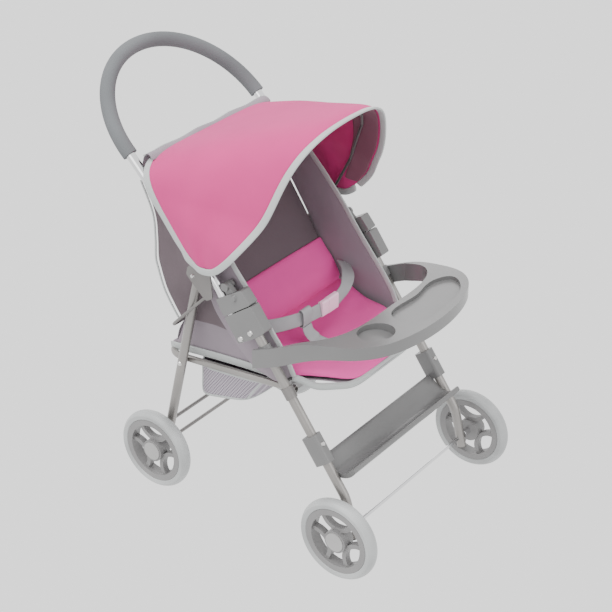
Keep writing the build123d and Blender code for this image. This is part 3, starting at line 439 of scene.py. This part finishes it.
paint = solid_material("frame_paint", (0.29, 0.277, 0.265), 0.34, 0.75, 1600, 0.06)
chrome = solid_material("chrome", (0.72, 0.72, 0.73), 0.12, 1.0, 400, 0.02, 0.04)
steel = solid_material("rivet_steel", (0.62, 0.61, 0.60), 0.25, 1.0, 500, 0.05)
dark_steel = solid_material("dark_steel", (0.085, 0.08, 0.08), 0.38, 0.4, 900, 0.08)
dull_steel = solid_material("dull_steel", (0.20, 0.19, 0.185), 0.42, 0.6, 900, 0.08)
plastic = solid_material("grey_plastic", (0.15, 0.149, 0.149), 0.26, 0.0, 1300, 0.05, 0.05)
dark_plastic = solid_material("dark_plastic", (0.09, 0.088, 0.085), 0.5, 0.0, 1000, 0.1)
foam = solid_material("grip_foam", (0.112, 0.118, 0.124), 0.9, 0.0, 700, 0.6, 0.14)
tyre = solid_material("tyre", (0.36, 0.37, 0.37), 0.38, 0.0, 240, 0.35, 0.22)
hub = solid_material("hub", (0.20, 0.196, 0.196), 0.4, 0.0, 900, 0.1, 0.08)
cap = solid_material("hub_cap", (0.36, 0.355, 0.35), 0.3, 0.2, 900, 0.05, 0.05)
pink = fabric_material("canopy_pink", PINK, 0.16, 430, 0.16, 0.9)
pad_pink = fabric_material("pad_pink", (0.78, 0.075, 0.35), 0.0, 430, 0.3, 0.86)
lilac = fabric_material("seat_lilac", LILAC, 0.0, 430, 0.35, 0.84)
# Painted shade: a darker, redder copy of the seat lilac for the seat back's front panel, for the shade under
# the canopy.
painted_shade_lilac = fabric_material("seat_lilac_painted_shade", (0.12, 0.092, 0.106), 0.0, 430, 0.3, 0.84)
# Painted shade: a dark lilac for the seat back's side gussets, which stand in shade.
painted_shade_gusset_lilac = fabric_material("seat_gusset_painted_shade", (0.135, 0.105, 0.118), 0.0, 430, 0.6, 0.7)
# Painted shade: a dark mauve for the facing inside the canopy's front, for the shade under the canopy there.
painted_shade_facing_cloth = fabric_material("canopy_facing_painted_shade", (0.22, 0.085, 0.125), 0.0, 430, 0.3, 0.8)
pale = fabric_material("binding", PALE, 0.0, 600, 0.12, 0.9)
web = webbing_material("webbing", (0.35, 0.355, 0.365))
net = mesh_material("basket_net", (0.42, 0.38, 0.43), (0.16, 0.13, 0.17))
buckle = solid_material("buckle_pink", (0.88, 0.56, 0.70), 0.32, 0.0, 500, 0.03, 0.03)

LOOKS = {
    "front_leg": paint,
    "rear_leg": paint,
    "rear_leg_plugs": dark_plastic,
    "front_leg_plugs": dark_plastic,
    "rear_leg_bracket": dull_steel,
    "basket_hoop": paint,
    "handle_tube": chrome,
    "handle_grip": foam,
    "hoop_bracket": dull_steel,
    "lock_body": plastic,
    "latch": plastic,
    "tray": plastic,
    "tray_clip": plastic,
    "footrest": plastic,
    "footrest_screws": steel,
    "lock_rivets": steel,
    "hoop_rivets": steel,
    "bracket_rivets": steel,
    "link_rivets": steel,
    "front_axle": chrome,
    "rear_axle": dull_steel,
    "rear_cross_rod": dull_steel,
    "back_wire": dull_steel,
    "seat_front_wire": dark_steel,
    "canopy_front_bow": dark_steel,
    "canopy_rear_bow": dark_steel,
    "canopy_clips": dark_plastic,
    "buckle_prongs": buckle,
    "buckle_socket": buckle,
    "hub_cap": cap,
    "hub": hub,
    "tyre": tyre,
}
MOULDED = {
    "tray": 0.0016,
    "footrest": 0.0012,
    "lock_body": 0.0014,
    "latch": 0.0012,
    "buckle_prongs": 0.0006,
    "buckle_socket": 0.0006,
}
for name, obj in nodes.items():
    fits = [key for key in LOOKS if name == key or name.startswith(key + "_")]
    if fits:
        obj.data.materials.clear()
        obj.data.materials.append(LOOKS[max(fits, key=len)])
    rounded = [key for key in MOULDED if name == key or name.startswith(key + "_") and key != "tray"]
    if rounded:
        edge = obj.modifiers.new("edge", "BEVEL")
        edge.width = MOULDED[rounded[0]]
        edge.segments = 3
        edge.limit_method = "ANGLE"
        edge.angle_limit = math.radians(35)
        edge.harden_normals = True


# ---------------------------------------------------------------------------
# Surfaces as functions, and pieces cut from them
# ---------------------------------------------------------------------------


def ease(a, b, t):
    """0 before a, 1 after b, smooth between."""
    t = min(max((t - a) / (b - a), 0), 1)
    return t * t * (3 - 2 * t)


def rows_of(surface, us, vs):
    return [[surface(u, v) for v in vs] for u in us]


def spread(count, a=0.0, b=1.0):
    return [mix(a, b, i / (count - 1)) for i in range(count)]


def grid_normals(rows):
    """A unit normal for each point of a grid."""
    m, n = len(rows), len(rows[0])
    out = []
    for i in range(m):
        line = []
        for j in range(n):
            a = rows[min(i + 1, m - 1)][j] - rows[max(i - 1, 0)][j]
            b = rows[i][min(j + 1, n - 1)] - rows[i][max(j - 1, 0)]
            normal = a.cross(b)
            line.append(normal.normalized() if normal.length > 1e-12 else Vector((0, 0, 1)))
        out.append(line)
    return out


def pillow(name, rows, thick, material, rim=0.0012, power=6, flat=0.25, puff=None):
    """A stuffed panel on a grid of points, full in the middle and thin at its sewn edge."""
    m, n = len(rows), len(rows[0])
    normals = grid_normals(rows)
    top, under = [], []
    for i in range(m):
        for j in range(n):
            a = abs(2 * i / (m - 1) - 1) ** power
            b = abs(2 * j / (n - 1) - 1) ** power
            full = math.sqrt(max((1 - a) * (1 - b), 0))
            extra = puff(i / (m - 1), j / (n - 1)) if puff else 0
            up = normals[i][j]
            top.append(rows[i][j] + up * (rim / 2 + (thick + extra) * full))
            under.append(rows[i][j] - up * (rim / 2 + thick * flat * full))
    faces = grid_faces(m, n)
    base = m * n
    faces += [tuple(k + base for k in f[::-1]) for f in grid_faces(m, n)]
    ring = [(0, j) for j in range(n)] + [(i, n - 1) for i in range(1, m)]
    ring += [(m - 1, j) for j in range(n - 2, -1, -1)] + [(i, 0) for i in range(m - 2, 0, -1)]
    for k, (i, j) in enumerate(ring):
        p, q = ring[(k + 1) % len(ring)]
        a, b = i * n + j, p * n + q
        faces.append((b, a, a + base, b + base))
    obj = mesh_object(name, top + under, faces, material)
    fix = obj.modifiers.new("smooth", "SUBSURF")
    fix.levels = 1
    fix.render_levels = 1
    return bake(obj)


def even(points, extra, count, closed=True):
    """The points and the vectors with them, spaced evenly along the line."""
    line = list(points) + ([points[0]] if closed else [])
    with_it = list(extra) + ([extra[0]] if closed else [])
    lengths = [0.0]
    for a, b in zip(line, line[1:]):
        lengths.append(lengths[-1] + (b - a).length)
    out, out_extra = [], []
    j = 0
    for i in range(count):
        want = lengths[-1] * i / (count if closed else count - 1)
        while j < len(lengths) - 2 and lengths[j + 1] < want:
            j += 1
        t = min(max((want - lengths[j]) / max(lengths[j + 1] - lengths[j], 1e-9), 0), 1)
        out.append(mix(line[j], line[j + 1], t))
        out_extra.append(mix(with_it[j], with_it[j + 1], t).normalized())
    return out, out_extra


def soften(points, times, closed=True):
    """Takes the sharpness out of a line's corners."""
    for _ in range(times):
        n = len(points)
        new = []
        for i in range(n):
            if not closed and i in (0, n - 1):
                new.append(points[i])
            else:
                new.append(points[i] * 0.5 + (points[i - 1] + points[(i + 1) % n]) * 0.25)
        points = new
    return points


def tape_round(name, points, normals, reach, material, count, closed=True, flip=1, thick=0.0028, soft=0):
    """A binding round the line of points, lying in the surface with those normals."""
    points, normals = even(points, normals, count, closed)
    points = soften(points, soft, closed)
    ts = tangents(points, closed)
    inner = [p + n.cross(t).normalized() * reach * flip for p, n, t in zip(points, normals, ts)]
    return tape(name, points, inner, material, thick, closed)


# ---------------------------------------------------------------------------
# Canopy: one curved sheet between the handle's rear wire and the hinged front bow
# ---------------------------------------------------------------------------

CANOPY_HALF = 145.0


def canopy_arch(u, pitch, low, height, power, narrow, bend):
    """A point of one end of the canopy, and how far it is from the bow's pin."""
    turn = math.pi * u
    c, s = math.cos(turn), math.sin(turn)
    r = low + (height - low) * max(s, 0) ** (2 / power)
    side = (CANOPY_HALF - narrow * ease(62, 120, r)) * math.copysign(abs(c) ** (2 / power), c)
    lean = bend * math.exp(-(r - low) / 90) * (1 - ease(120, height, r))
    angle = math.radians(pitch + lean)
    return at(side, *BOW_PIN_YZ) + Vector((0, math.cos(angle), math.sin(angle))) * (r / 1000), r


def canopy(u, v, out=0.0):
    """u from the right tip over the crown to the left tip, v from the rear edge to the front edge."""
    rear, rear_r = canopy_arch(u, 52.0, 29, 156, 6.0, 0, 0)
    front, front_r = canopy_arch(u, 123.0, 43, 236, 2.5, 17, 27)
    c, s = math.cos(math.pi * u), math.sin(math.pi * u)
    p = mix(rear, front, v)
    middle = math.sin(math.pi * min(max(v, 0), 1))
    r = mix(rear_r, front_r, v)
    p.z -= 0.016 * (4 * v * (1 - v)) * math.exp(-(r - mix(29, 43, v)) / 18)
    p.z += 0.004 * middle * s - 0.003 * ease(0.93, 1.0, v) * s
    outward = Vector((math.copysign(abs(c) ** 1.5, c), 0, 0)) + Vector((0, 0.1, 1)) * (1 - abs(c) ** 1.5)
    fold = 0.0016 * wobble(p, 10, 4) + 0.0008 * wobble(p, 26, 9)
    fold += 0.0012 * math.sin(9 * u + 14 * v) * middle * (1 - s)
    return p + outward.normalized() * (fold * middle + out)


def u_spread(count, a=0.0, b=1.0):
    """Values for u, closer together near the two tips, where the sheet is narrow."""
    return [mix(t, 0.5 - 0.5 * math.cos(math.pi * t), 0.85) for t in spread(count, a, b)]


def canopy_uv():
    ring = [(u, 1.0) for u in u_spread(161)][:-1]
    ring += [(1.0, v) for v in spread(31, 1.0, 0.0)][:-1]
    ring += [(u, 0.0) for u in u_spread(161, 1.0, 0.0)][:-1]
    ring += [(0.0, v) for v in spread(31)][:-1]
    return ring


def canopy_normal(u, v):
    e = 0.003
    a = canopy(min(u + e, 1), v) - canopy(max(u - e, 0), v)
    b = canopy(u, min(v + e, 1)) - canopy(u, max(v - e, 0))
    normal = a.cross(b)
    return normal.normalized()


cover = cloth("canopy_cover", rows_of(canopy, u_spread(91), spread(25)), pink, 0.0014, 1)
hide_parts("canopy_fabric")
ring = canopy_uv()
bound = tape_round(
    "canopy_binding",
    [canopy(u, v) for u, v in ring],
    [canopy_normal(u, v) for u, v in ring],
    0.0085,
    pale,
    300,
    flip=1,
    thick=0.0034,
    soft=4,
)
# A facing strip just inside the canopy's front edge; its dark mauve colour is painted shade.
facing = cloth(
    "canopy_facing_painted_shade",
    [[canopy(u, v, -0.0022) for v in spread(9, 0.74, 0.985)] for u in u_spread(83, 0.03, 0.97)],
    painted_shade_facing_cloth,
    0.0012,
    1,
)
for piece in (cover, bound, facing):
    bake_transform(piece)

# ---------------------------------------------------------------------------
# Seat back: a front panel and a fuller rear panel with gathered side gussets
# ---------------------------------------------------------------------------

BACK_FRONT = [(199, 262), (210, 280), (226, 299), (243, 326), (263, 356), (300, 408), (333, 454)]
BACK_REAR = [(290, 259), (301, 275), (315, 298), (325, 325), (329, 345), (327, 390), (337, 424), (348, 446)]
front_line = smooth_path([at(0, y, z) for y, z in BACK_FRONT], 60)
rear_line = smooth_path([at(0, y, z) for y, z in BACK_REAR], 60)


def sampled(line, t):
    k = min(max(t, 0), 1) * (len(line) - 1)
    i = min(int(k), len(line) - 2)
    return mix(line[i], line[i + 1], k - i)


def back_front(t, x, sink=0.0):
    """The front panel: t from its foot to its top, x from -1 to 1 across."""
    p = sampled(front_line, t)
    tangent = (sampled(front_line, t + 0.02) - sampled(front_line, t - 0.02)).normalized()
    inward = Vector((0, -tangent.z, tangent.y))
    if inward.y > 0:
        inward = -inward
    hollow = 0.006 * (1 - x * x) * math.sin(math.pi * min(max(t, 0.02), 0.98))
    ripple = 0.0012 * wobble((x * 0.11, p.y, p.z), 16, 2)
    return p + Vector((x * 0.112, 0, 0)) - inward * (hollow + ripple + sink)


def back_rear(t, x):
    p = sampled(rear_line, t)
    full = 0.004 * (1 - x**4) * math.sin(math.pi * t)
    gather = 0.0022 * wobble((x * 0.12, p.y, p.z), 24, 7)
    return p + Vector((x * 0.117, full + gather, 0))


def back_loop(t):
    """One ring of the seat back, front side first."""
    ring = [back_front(t, x) for x in spread(19, -1, 1)]
    a, b = ring[-1], back_rear(t, 1)
    c, d = back_rear(t, -1), ring[0]
    for k in range(1, 8):
        s = k / 8
        p = mix(a, b, s)
        pinch = math.sin(math.pi * s) * (0.0045 + 0.0025 * wobble((p.y, p.z, 0.1), 34, 5))
        p.x -= pinch
        ring.append(p)
    ring += [back_rear(t, x) for x in spread(19, 1, -1)]
    for k in range(1, 8):
        s = k / 8
        p = mix(c, d, s)
        pinch = math.sin(math.pi * s) * (0.0045 + 0.0025 * wobble((p.y, p.z, 0.9), 34, 6))
        p.x += pinch
        ring.append(p)
    return ring


loops = [back_loop(t) for t in spread(41)]
width = len(loops[0])
verts = [p for loop in loops for p in loop]
faces = [f[::-1] for f in grid_faces(len(loops), width, closed=True)]
faces.append(tuple(range(width)))
faces.append(tuple((len(loops) - 1) * width + j for j in range(width))[::-1])
back = mesh_object("seat_back_cover", verts, faces, [painted_shade_lilac, lilac, painted_shade_gusset_lilac])
# The front panel takes the lilac with painted shade, the rear panel the plain lilac, and the side gussets
# the dark lilac with painted shade.
for polygon in back.data.polygons:
    columns = sorted(v % width for v in polygon.vertices)
    column = columns[0] if columns[-1] - columns[0] < 2 else columns[-1]
    polygon.material_index = 0 if column < 18 else 1 if 26 <= column < 44 else 2
fix = back.modifiers.new("smooth", "SUBSURF")
fix.levels = 1
fix.render_levels = 1
bake(back)
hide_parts("seat_back")
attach(back, "handle")

top_hem = tape_round(
    "seat_back_top_hem",
    [back_rear(0.995, x) + Vector((0, 0.0005, 0.001)) for x in spread(40, -0.99, 0.99)],
    [Vector((0, 0.9, 0.35))] * 40,
    0.008,
    pale,
    60,
    closed=False,
    flip=-1,
)
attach(top_hem, "handle")
back_seams = []
for side in (-1, 1):
    seam = round_tube(
        "seat_back_seam_" + ("left" if side < 0 else "right"),
        [back_rear(t, side) + Vector((side * 0.0006, 0.0006, 0)) for t in spread(48)],
        0.0014,
        pale,
        8,
    )
    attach(seam, "handle")
    back_seams.append(seam)

# Each of these pieces gets a mesh of its own, not shared with another object.
for piece in (back, top_hem, *back_seams):
    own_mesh(piece)

# The cloth from behind the canopy's rear edge down to the top of the seat back.
BAND = [(322, 481), (327, 486), (333, 487), (339, 482), (344, 466), (348, 446)]
band_line = smooth_path([at(0, y, z) for y, z in BAND], 24)


def back_band(u, v):
    p = sampled(band_line, v)
    p.x = mix(-0.121, 0.121, u) * mix(1.0, 0.97, v)
    p += Vector((0, 0.0008, 0.0012)) * wobble((p.x, v * 0.1, 0.2), 30, 77)
    return p


band = cloth("seat_back_band", rows_of(back_band, spread(33), spread(19)), lilac, 0.0012, 1)
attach(band, "handle")
ridge = [back_band(u, 0.34) + Vector((0, 0, 0.0008)) for u in spread(50)]
ridge_hem = round_tube("seat_back_band_edge", ridge, 0.0013, pale, 8)
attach(ridge_hem, "handle")

# The pink pad on the lower seat back.
PAD_TOP = 0.235


def back_pad(u, v):
    t = mix(-0.05, PAD_TOP, v)
    p = back_front(max(t, 0.0), mix(-0.985, 0.985, u), -0.0012)
    below = max(-t, 0) * 0.25
    return p + Vector((0, -0.3 * below, -below))


pad_back = pillow(
    "seat_pad_back",
    [[back_pad(u, v) for v in spread(15)] for u in spread(31)],
    0.0035,
    pad_pink,
    rim=0.002,
    puff=lambda a, b: 0.0012 * wobble((a * 0.2, b * 0.08, 0.3), 18, 12),
)
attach(pad_back, "handle")

# ---------------------------------------------------------------------------
# Seat: a pink pad over a sling hung from the bowed front wire
# ---------------------------------------------------------------------------


def seat_front_y(x):
    """Where the seat's front edge is, for x from -1 to 1 across."""
    a = abs(x)
    return 47 + 6 * a * a + 58 * ease(0.42, 1.04, a) ** 1.25


def seat_top(u, v):
    """The seat's surface: u across, v from the front edge to the foot of the back."""
    x = mix(-1, 1, u)
    y = mix(seat_front_y(x), 197, v)
    z = 229.5 + 3 * ease(50, 80, y) + 4 * ease(80, 150, y) + 17 * ease(140, 205, y)
    z += 2.5 * abs(x) ** 3 - 5.5 * (1 - x * x) * math.sin(math.pi * min(max(v, 0), 1)) * 0.6
    z -= 2.5 * (1 - ease(0.0, 0.1, v))
    p = at(x * mix(106, 110, ease(0.2, 1.0, v)), y, z)
    p.z += 0.0012 * wobble(p, 17, 20)
    return p


pad_seat = pillow(
    "seat_pad_bottom",
    [[seat_top(u, v) for v in spread(21)] for u in spread(35)],
    0.0045,
    pad_pink,
    puff=lambda a, b: 0.0014 * wobble((a * 0.2, b * 0.14, 0.7), 14, 30),
)
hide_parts("seat_bottom")
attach(pad_seat, "frame")


def sling(u, v):
    """The cloth under the pad, from round the front wire to the foot of the back."""
    p = seat_top(u, mix(-0.03, 1.0, v))
    p.z -= mix(0.0035, 0.008, ease(0.0, 0.2, v))
    p.z -= 0.004 * math.sin(math.pi * v)
    p.x *= 1.02
    return p


under = cloth("seat_sling", rows_of(sling, spread(31), spread(15)), lilac, 0.0012, 1)
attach(under, "frame")
wire_corners = [
    (-113, 107.5, 236),
    (-108.5, 101, 234.5),
    (-102, 78, 227.5),
    (-85, 64, 225.5),
    (-66, 50.5, 222.6),
    (-50, 48, 222),
]
wire_line = [at(*p) for p in wire_corners] + [at(-x, y, z) for x, y, z in wire_corners[::-1]]
front_edge, _ = even(wire_line, wire_line, 80, False)
front_edge = soften(front_edge, 6, False)
sleeve_ts = tangents(front_edge)
sleeve = sweep(
    "seat_front_sleeve",
    front_edge,
    [t.cross(Vector((0, 0, 1))).normalized() for t in sleeve_ts],
    [Vector((0, 0, 1))] * len(front_edge),
    oval(0.0092, 0.0092, 14, 0.9),
    pale,
)
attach(sleeve, "frame")

# ---------------------------------------------------------------------------
# Side wings, and the cloth between them and the basket rail
# ---------------------------------------------------------------------------

WING_FRONT = [(106, 238), (118, 262), (140, 291), (168, 325), (192, 356), (216, 385), (243, 414), (275, 444)]
WING_REAR = [(150, 225), (168, 227), (188, 243), (210, 264), (234, 292)]
WING_REAR += [(247, 322), (272, 364), (300, 404), (326, 443)]


def wing(side):
    """A wing's surface: u from its foot to its top, v from its front edge to its rear edge."""
    front = smooth_path([at(0, y, z) for y, z in WING_FRONT], 50)
    rear = smooth_path([at(0, y, z) for y, z in WING_REAR], 50)

    def surface(u, v):
        p = mix(sampled(front, u), sampled(rear, u), v)
        foot = math.sin(math.pi * min(max(v, 0), 1)) * (1 - ease(0.0, 0.18, u))
        p.z -= 0.009 * foot
        bow = 0.0022 * math.sin(math.pi * u) * math.sin(math.pi * v)
        fold = 0.0011 * wobble(p, 20, 40) + 0.0005 * wobble(p, 48, 41)
        p.x = side * (0.1166 - 0.001 - bow - fold * 0.8 - 0.002 * ease(0.55, 1.0, v))
        return p

    return surface


def skirt(side):
    """The side cloth from the seat's edge down to the basket rail: u forwards to back."""

    def surface(u, v):
        y_top = mix(150, 288, u)
        z_top = 226 + 40 * ease(0.0, 0.42, u) + 8 * ease(0.4, 1.0, u)
        y_low = mix(152, 318, u)
        top = at(106.0, y_top, z_top)
        low = at(101.5, y_low, rail_z(y_low) + 3)
        p = mix(top, low, v)
        p.x -= 0.005 * math.sin(math.pi * v) + 0.0022 * wobble(p, 20, 50) + 0.0012 * wobble(p, 45, 51)
        p.x *= side
        return p

    return surface


for side, word in ((-1, "left"), (1, "right")):
    surface = wing(side)
    sheet = cloth("seat_wing_cloth_" + word, rows_of(surface, spread(37), spread(13)), lilac, 0.0012, 1)
    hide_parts("seat_wing_" + word)
    rim = tape_round(
        "seat_wing_binding_" + word,
        [surface(u, 0) for u in spread(60, 0.0, 1.0)],
        [Vector((1, 0, 0))] * 60,
        0.007,
        pale,
        70,
        closed=False,
        flip=1,
        thick=0.003,
    )
    surface = skirt(side)
    apron = cloth("seat_skirt_" + word, rows_of(surface, spread(33), spread(13)), lilac, 0.0012, 1)
    for piece in (sheet, rim):
        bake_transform(piece)
    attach(apron, "frame")
    hem_line = []
    for k, y in enumerate(spread(30, 150, 322)):
        hem_line.append(at(side * 102.2, y, rail_z(y) + 7 + 2 * math.sin(math.pi * k / 29)))
    hem = strap(
        "skirt_hem_" + word,
        hem_line,
        [Vector((side, 0, 0))] * 30,
        0.011,
        0.0022,
        pale,
    )
    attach(hem, "frame")

# ---------------------------------------------------------------------------
# Basket: a netting bag in a sleeve on the hoop
# ---------------------------------------------------------------------------


def bag_ring(depth):
    """One ring of the bag, depth from 0 at the hem to 1 at the floor."""
    front = mix(148, 190, depth**0.8)
    rear = mix(280, 281 + 3 * math.sin(math.pi * depth), depth)
    wide = mix(105.5, 102, depth)
    floor = lambda y: mix(160, 143, ease(187, 283, y))
    ring = []
    power = 5.5
    for i in range(96):
        a = 2 * math.pi * i / 96
        c, s = math.cos(a), math.sin(a)
        x = wide * math.copysign(abs(c) ** (2 / power), c)
        y = mix(front, rear, 0.5 + 0.5 * math.copysign(abs(s) ** (2 / power), s))
        top = rail_z(y) - 4
        p = at(x, y, mix(top, floor(y), depth))
        slack = math.sin(math.pi * depth)
        p.x += 0.002 * slack * wobble(p, 24, 60) * (1 if x > 0 else -1)
        p.y += 0.0015 * slack * wobble(p, 24, 61)
        ring.append(p)
    return ring


bag_rings = [bag_ring(t) for t in spread(13)]
centre = sum(bag_rings[-1], Vector()) / 96
for k, t in enumerate((0.8, 0.55, 0.3, 0.1)):
    ring = [mix(centre, p, t) for p in bag_rings[12]]
    for p in ring:
        p.z -= 0.0035 * (1 - t)
    bag_rings.append(ring)
verts = [p for r in bag_rings for p in r]
faces = grid_faces(len(bag_rings), 96, closed=True)
faces.append(tuple((len(bag_rings) - 1) * 96 + j for j in range(96)))
bag = mesh_object("basket_bag", verts, faces, net)
solid = bag.modifiers.new("thick", "SOLIDIFY")
solid.thickness = 0.001
bake(bag)
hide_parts("basket_fabric")
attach(bag, "basket")
hem_ring = [p + (p - Vector((0, p.y, p.z))).normalized() * 0.0006 for p in bag_ring(0.03)]
hem_normals = [Vector((1, 0, 0)) if abs(p.x) > 0.1 else Vector((0, 1, 0)) for p in hem_ring]
hem = tape_round("basket_hem", hem_ring, hem_normals, 0.007, pale, 180, thick=0.0026)
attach(hem, "basket")
floor_binding = round_tube("basket_floor_binding", soften(bag_ring(0.99), 2), 0.0021, pale, 8, True)
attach(floor_binding, "basket")
for side, word in ((-1, "left"), (1, "right")):
    for spot, index in (("front", 58 if side < 0 else 86), ("rear", 38 if side < 0 else 10)):
        path = [bag_rings[k][index] + Vector((side * 0.0008, 0, 0)) for k in range(13)]
        line = round_tube("basket_edge_" + spot + "_" + word, path, 0.0021, pale, 8)
        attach(line, "basket")

# The sleeve round the hoop's rear bar, and the cloth from it up to the foot of the seat back.
hoop_low, hoop_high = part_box("basket_hoop")
bar = Vector((0, hoop_high.y - 0.0048, hoop_low.z + 0.0048))
sleeve_path = [Vector((x, bar.y, bar.z)) for x in spread(40, -0.088, 0.088)]
sleeve_path = [p + Vector((0, 0.0004 * wobble(p, 60, 70), 0.0004 * wobble(p, 60, 71))) for p in sleeve_path]
hoop_sleeve = round_tube("basket_bar_sleeve", sleeve_path, 0.0066, lilac, 16)
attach(hoop_sleeve, "basket")


def tail(u, v):
    x = mix(-0.098, 0.098, u) * mix(1, 0.93, v)
    top = at(0, 291, 259)
    low = Vector((0, bar.y - 0.004, bar.z + 0.006))
    p = mix(top, low, v)
    p.x = x
    p.y += 0.006 * math.sin(math.pi * v) + 0.0015 * wobble((x, v * 0.1, 0.4), 24, 72)
    return p


flap = cloth("seat_tail_cloth", rows_of(tail, spread(31), spread(9)), lilac, 0.0012, 1)
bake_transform(flap)

# ---------------------------------------------------------------------------
# Harness
# ---------------------------------------------------------------------------


def belt(name, points, body, slot_node, leans, width=0.019, thick=0.0018, count=48):
    """A waist strap with its face turned to the front, leaning back more towards one end."""
    path = smooth_path(points, count)
    ts = tangents(path)
    normals = []
    for k, t in enumerate(ts):
        outward = Vector((t.y, -t.x, 0)).normalized()
        lean = mix(leans[0], leans[1], ease(0.1, 0.7, k / (count - 1)))
        normals.append((outward * math.cos(lean) + Vector((0, 0, math.sin(lean)))).normalized())
    made = strap(name, path, normals, width, thick, web)
    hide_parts(slot_node)
    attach(made, body)
    return made


BELT_Z = 277.5
BELT_LEFT = [at(-112, 199, BELT_Z + 2), at(-86, 168, BELT_Z - 1), at(-48, 146, BELT_Z), at(-11, 139, BELT_Z)]
BELT_RIGHT = [at(24, 139, BELT_Z), at(56, 149, BELT_Z), at(90, 168, BELT_Z + 1), at(112, 192, BELT_Z + 2)]
belt("strap_left", BELT_LEFT, "buckle_half", "waist_strap_left", (0.5, 0.2))
belt("strap_right", BELT_RIGHT, "frame", "waist_strap_right", (0.2, 1.2))
CROTCH_LINE = [at(-5, 66, 235), at(-18, 92, 238.5), at(-32, 122, 246)]
CROTCH_LINE += [at(-38, 136, 256), at(-38.5, 141, 266)]
crotch = strap(
    "strap_crotch",
    smooth_path(CROTCH_LINE, 40),
    [Vector((0, -0.35, 1)) if k < 30 else Vector((0, -0.9, 0.4)) for k in range(40)],
    0.019,
    0.0018,
    web,
)
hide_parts("crotch_strap")
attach(crotch, "frame")
keeper_path = []
for k in range(28):
    a = 2 * math.pi * k / 28
    rise = math.copysign(abs(math.sin(a)) ** 0.6, math.sin(a))
    keeper_path.append(at(-38.5, 144 + 4.6 * math.cos(a), BELT_Z + 0.5 + 12.5 * rise))
keeper = sweep(
    "strap_keeper",
    keeper_path,
    [Vector((1, 0, 0))] * 28,
    [((p - at(-38.5, 144, BELT_Z)).normalized()) for p in keeper_path],
    oval(0.0185, 0.0016, 12, 0.35),
    web,
    closed=True,
)
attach(keeper, "frame")

# ---------------------------------------------------------------------------
# Lights and camera
# ---------------------------------------------------------------------------

def area_light(name, place, aim, size, power, color=(1, 1, 1)):
    data = bpy.data.lights.new(name, "AREA")
    data.shape = "RECTANGLE"
    data.size = size
    data.size_y = size
    data.energy = power
    data.color = color
    obj = bpy.data.objects.new(name, data)
    bpy.context.scene.collection.objects.link(obj)
    obj.location = place
    obj.rotation_euler = (Vector(aim) - Vector(place)).to_track_quat("-Z", "Y").to_euler()
    return obj


area_light("top", (-0.6, 0.5, 2.6), (0, 0, 0.25), 2.0, 66)
area_light("side", (-2.4, -0.4, 1.5), (0, 0, 0.3), 1.6, 16)
area_light("front", (0.5, -2.6, 1.4), (0, 0, 0.3), 1.8, 16)
area_light("far", (2.2, 1.4, 1.3), (0, 0, 0.3), 1.6, 10)

world = bpy.data.worlds.new("studio")
bpy.context.scene.world = world
world.use_nodes = True
world.node_tree.nodes["Background"].inputs["Color"].default_value = (1, 1, 1, 1)
world.node_tree.nodes["Background"].inputs["Strength"].default_value = 1.6

camera_data = bpy.data.cameras.new("camera")
camera_data.lens = 98.03
camera_data.sensor_width = 36
camera_data.clip_end = 100
camera = bpy.data.objects.new("camera", camera_data)
bpy.context.scene.collection.objects.link(camera)
camera.location = (-1.53198, -1.18620, 1.37232)
camera.rotation_euler = (math.radians(60.06), 0, math.radians(-52.957))
bpy.context.scene.camera = camera
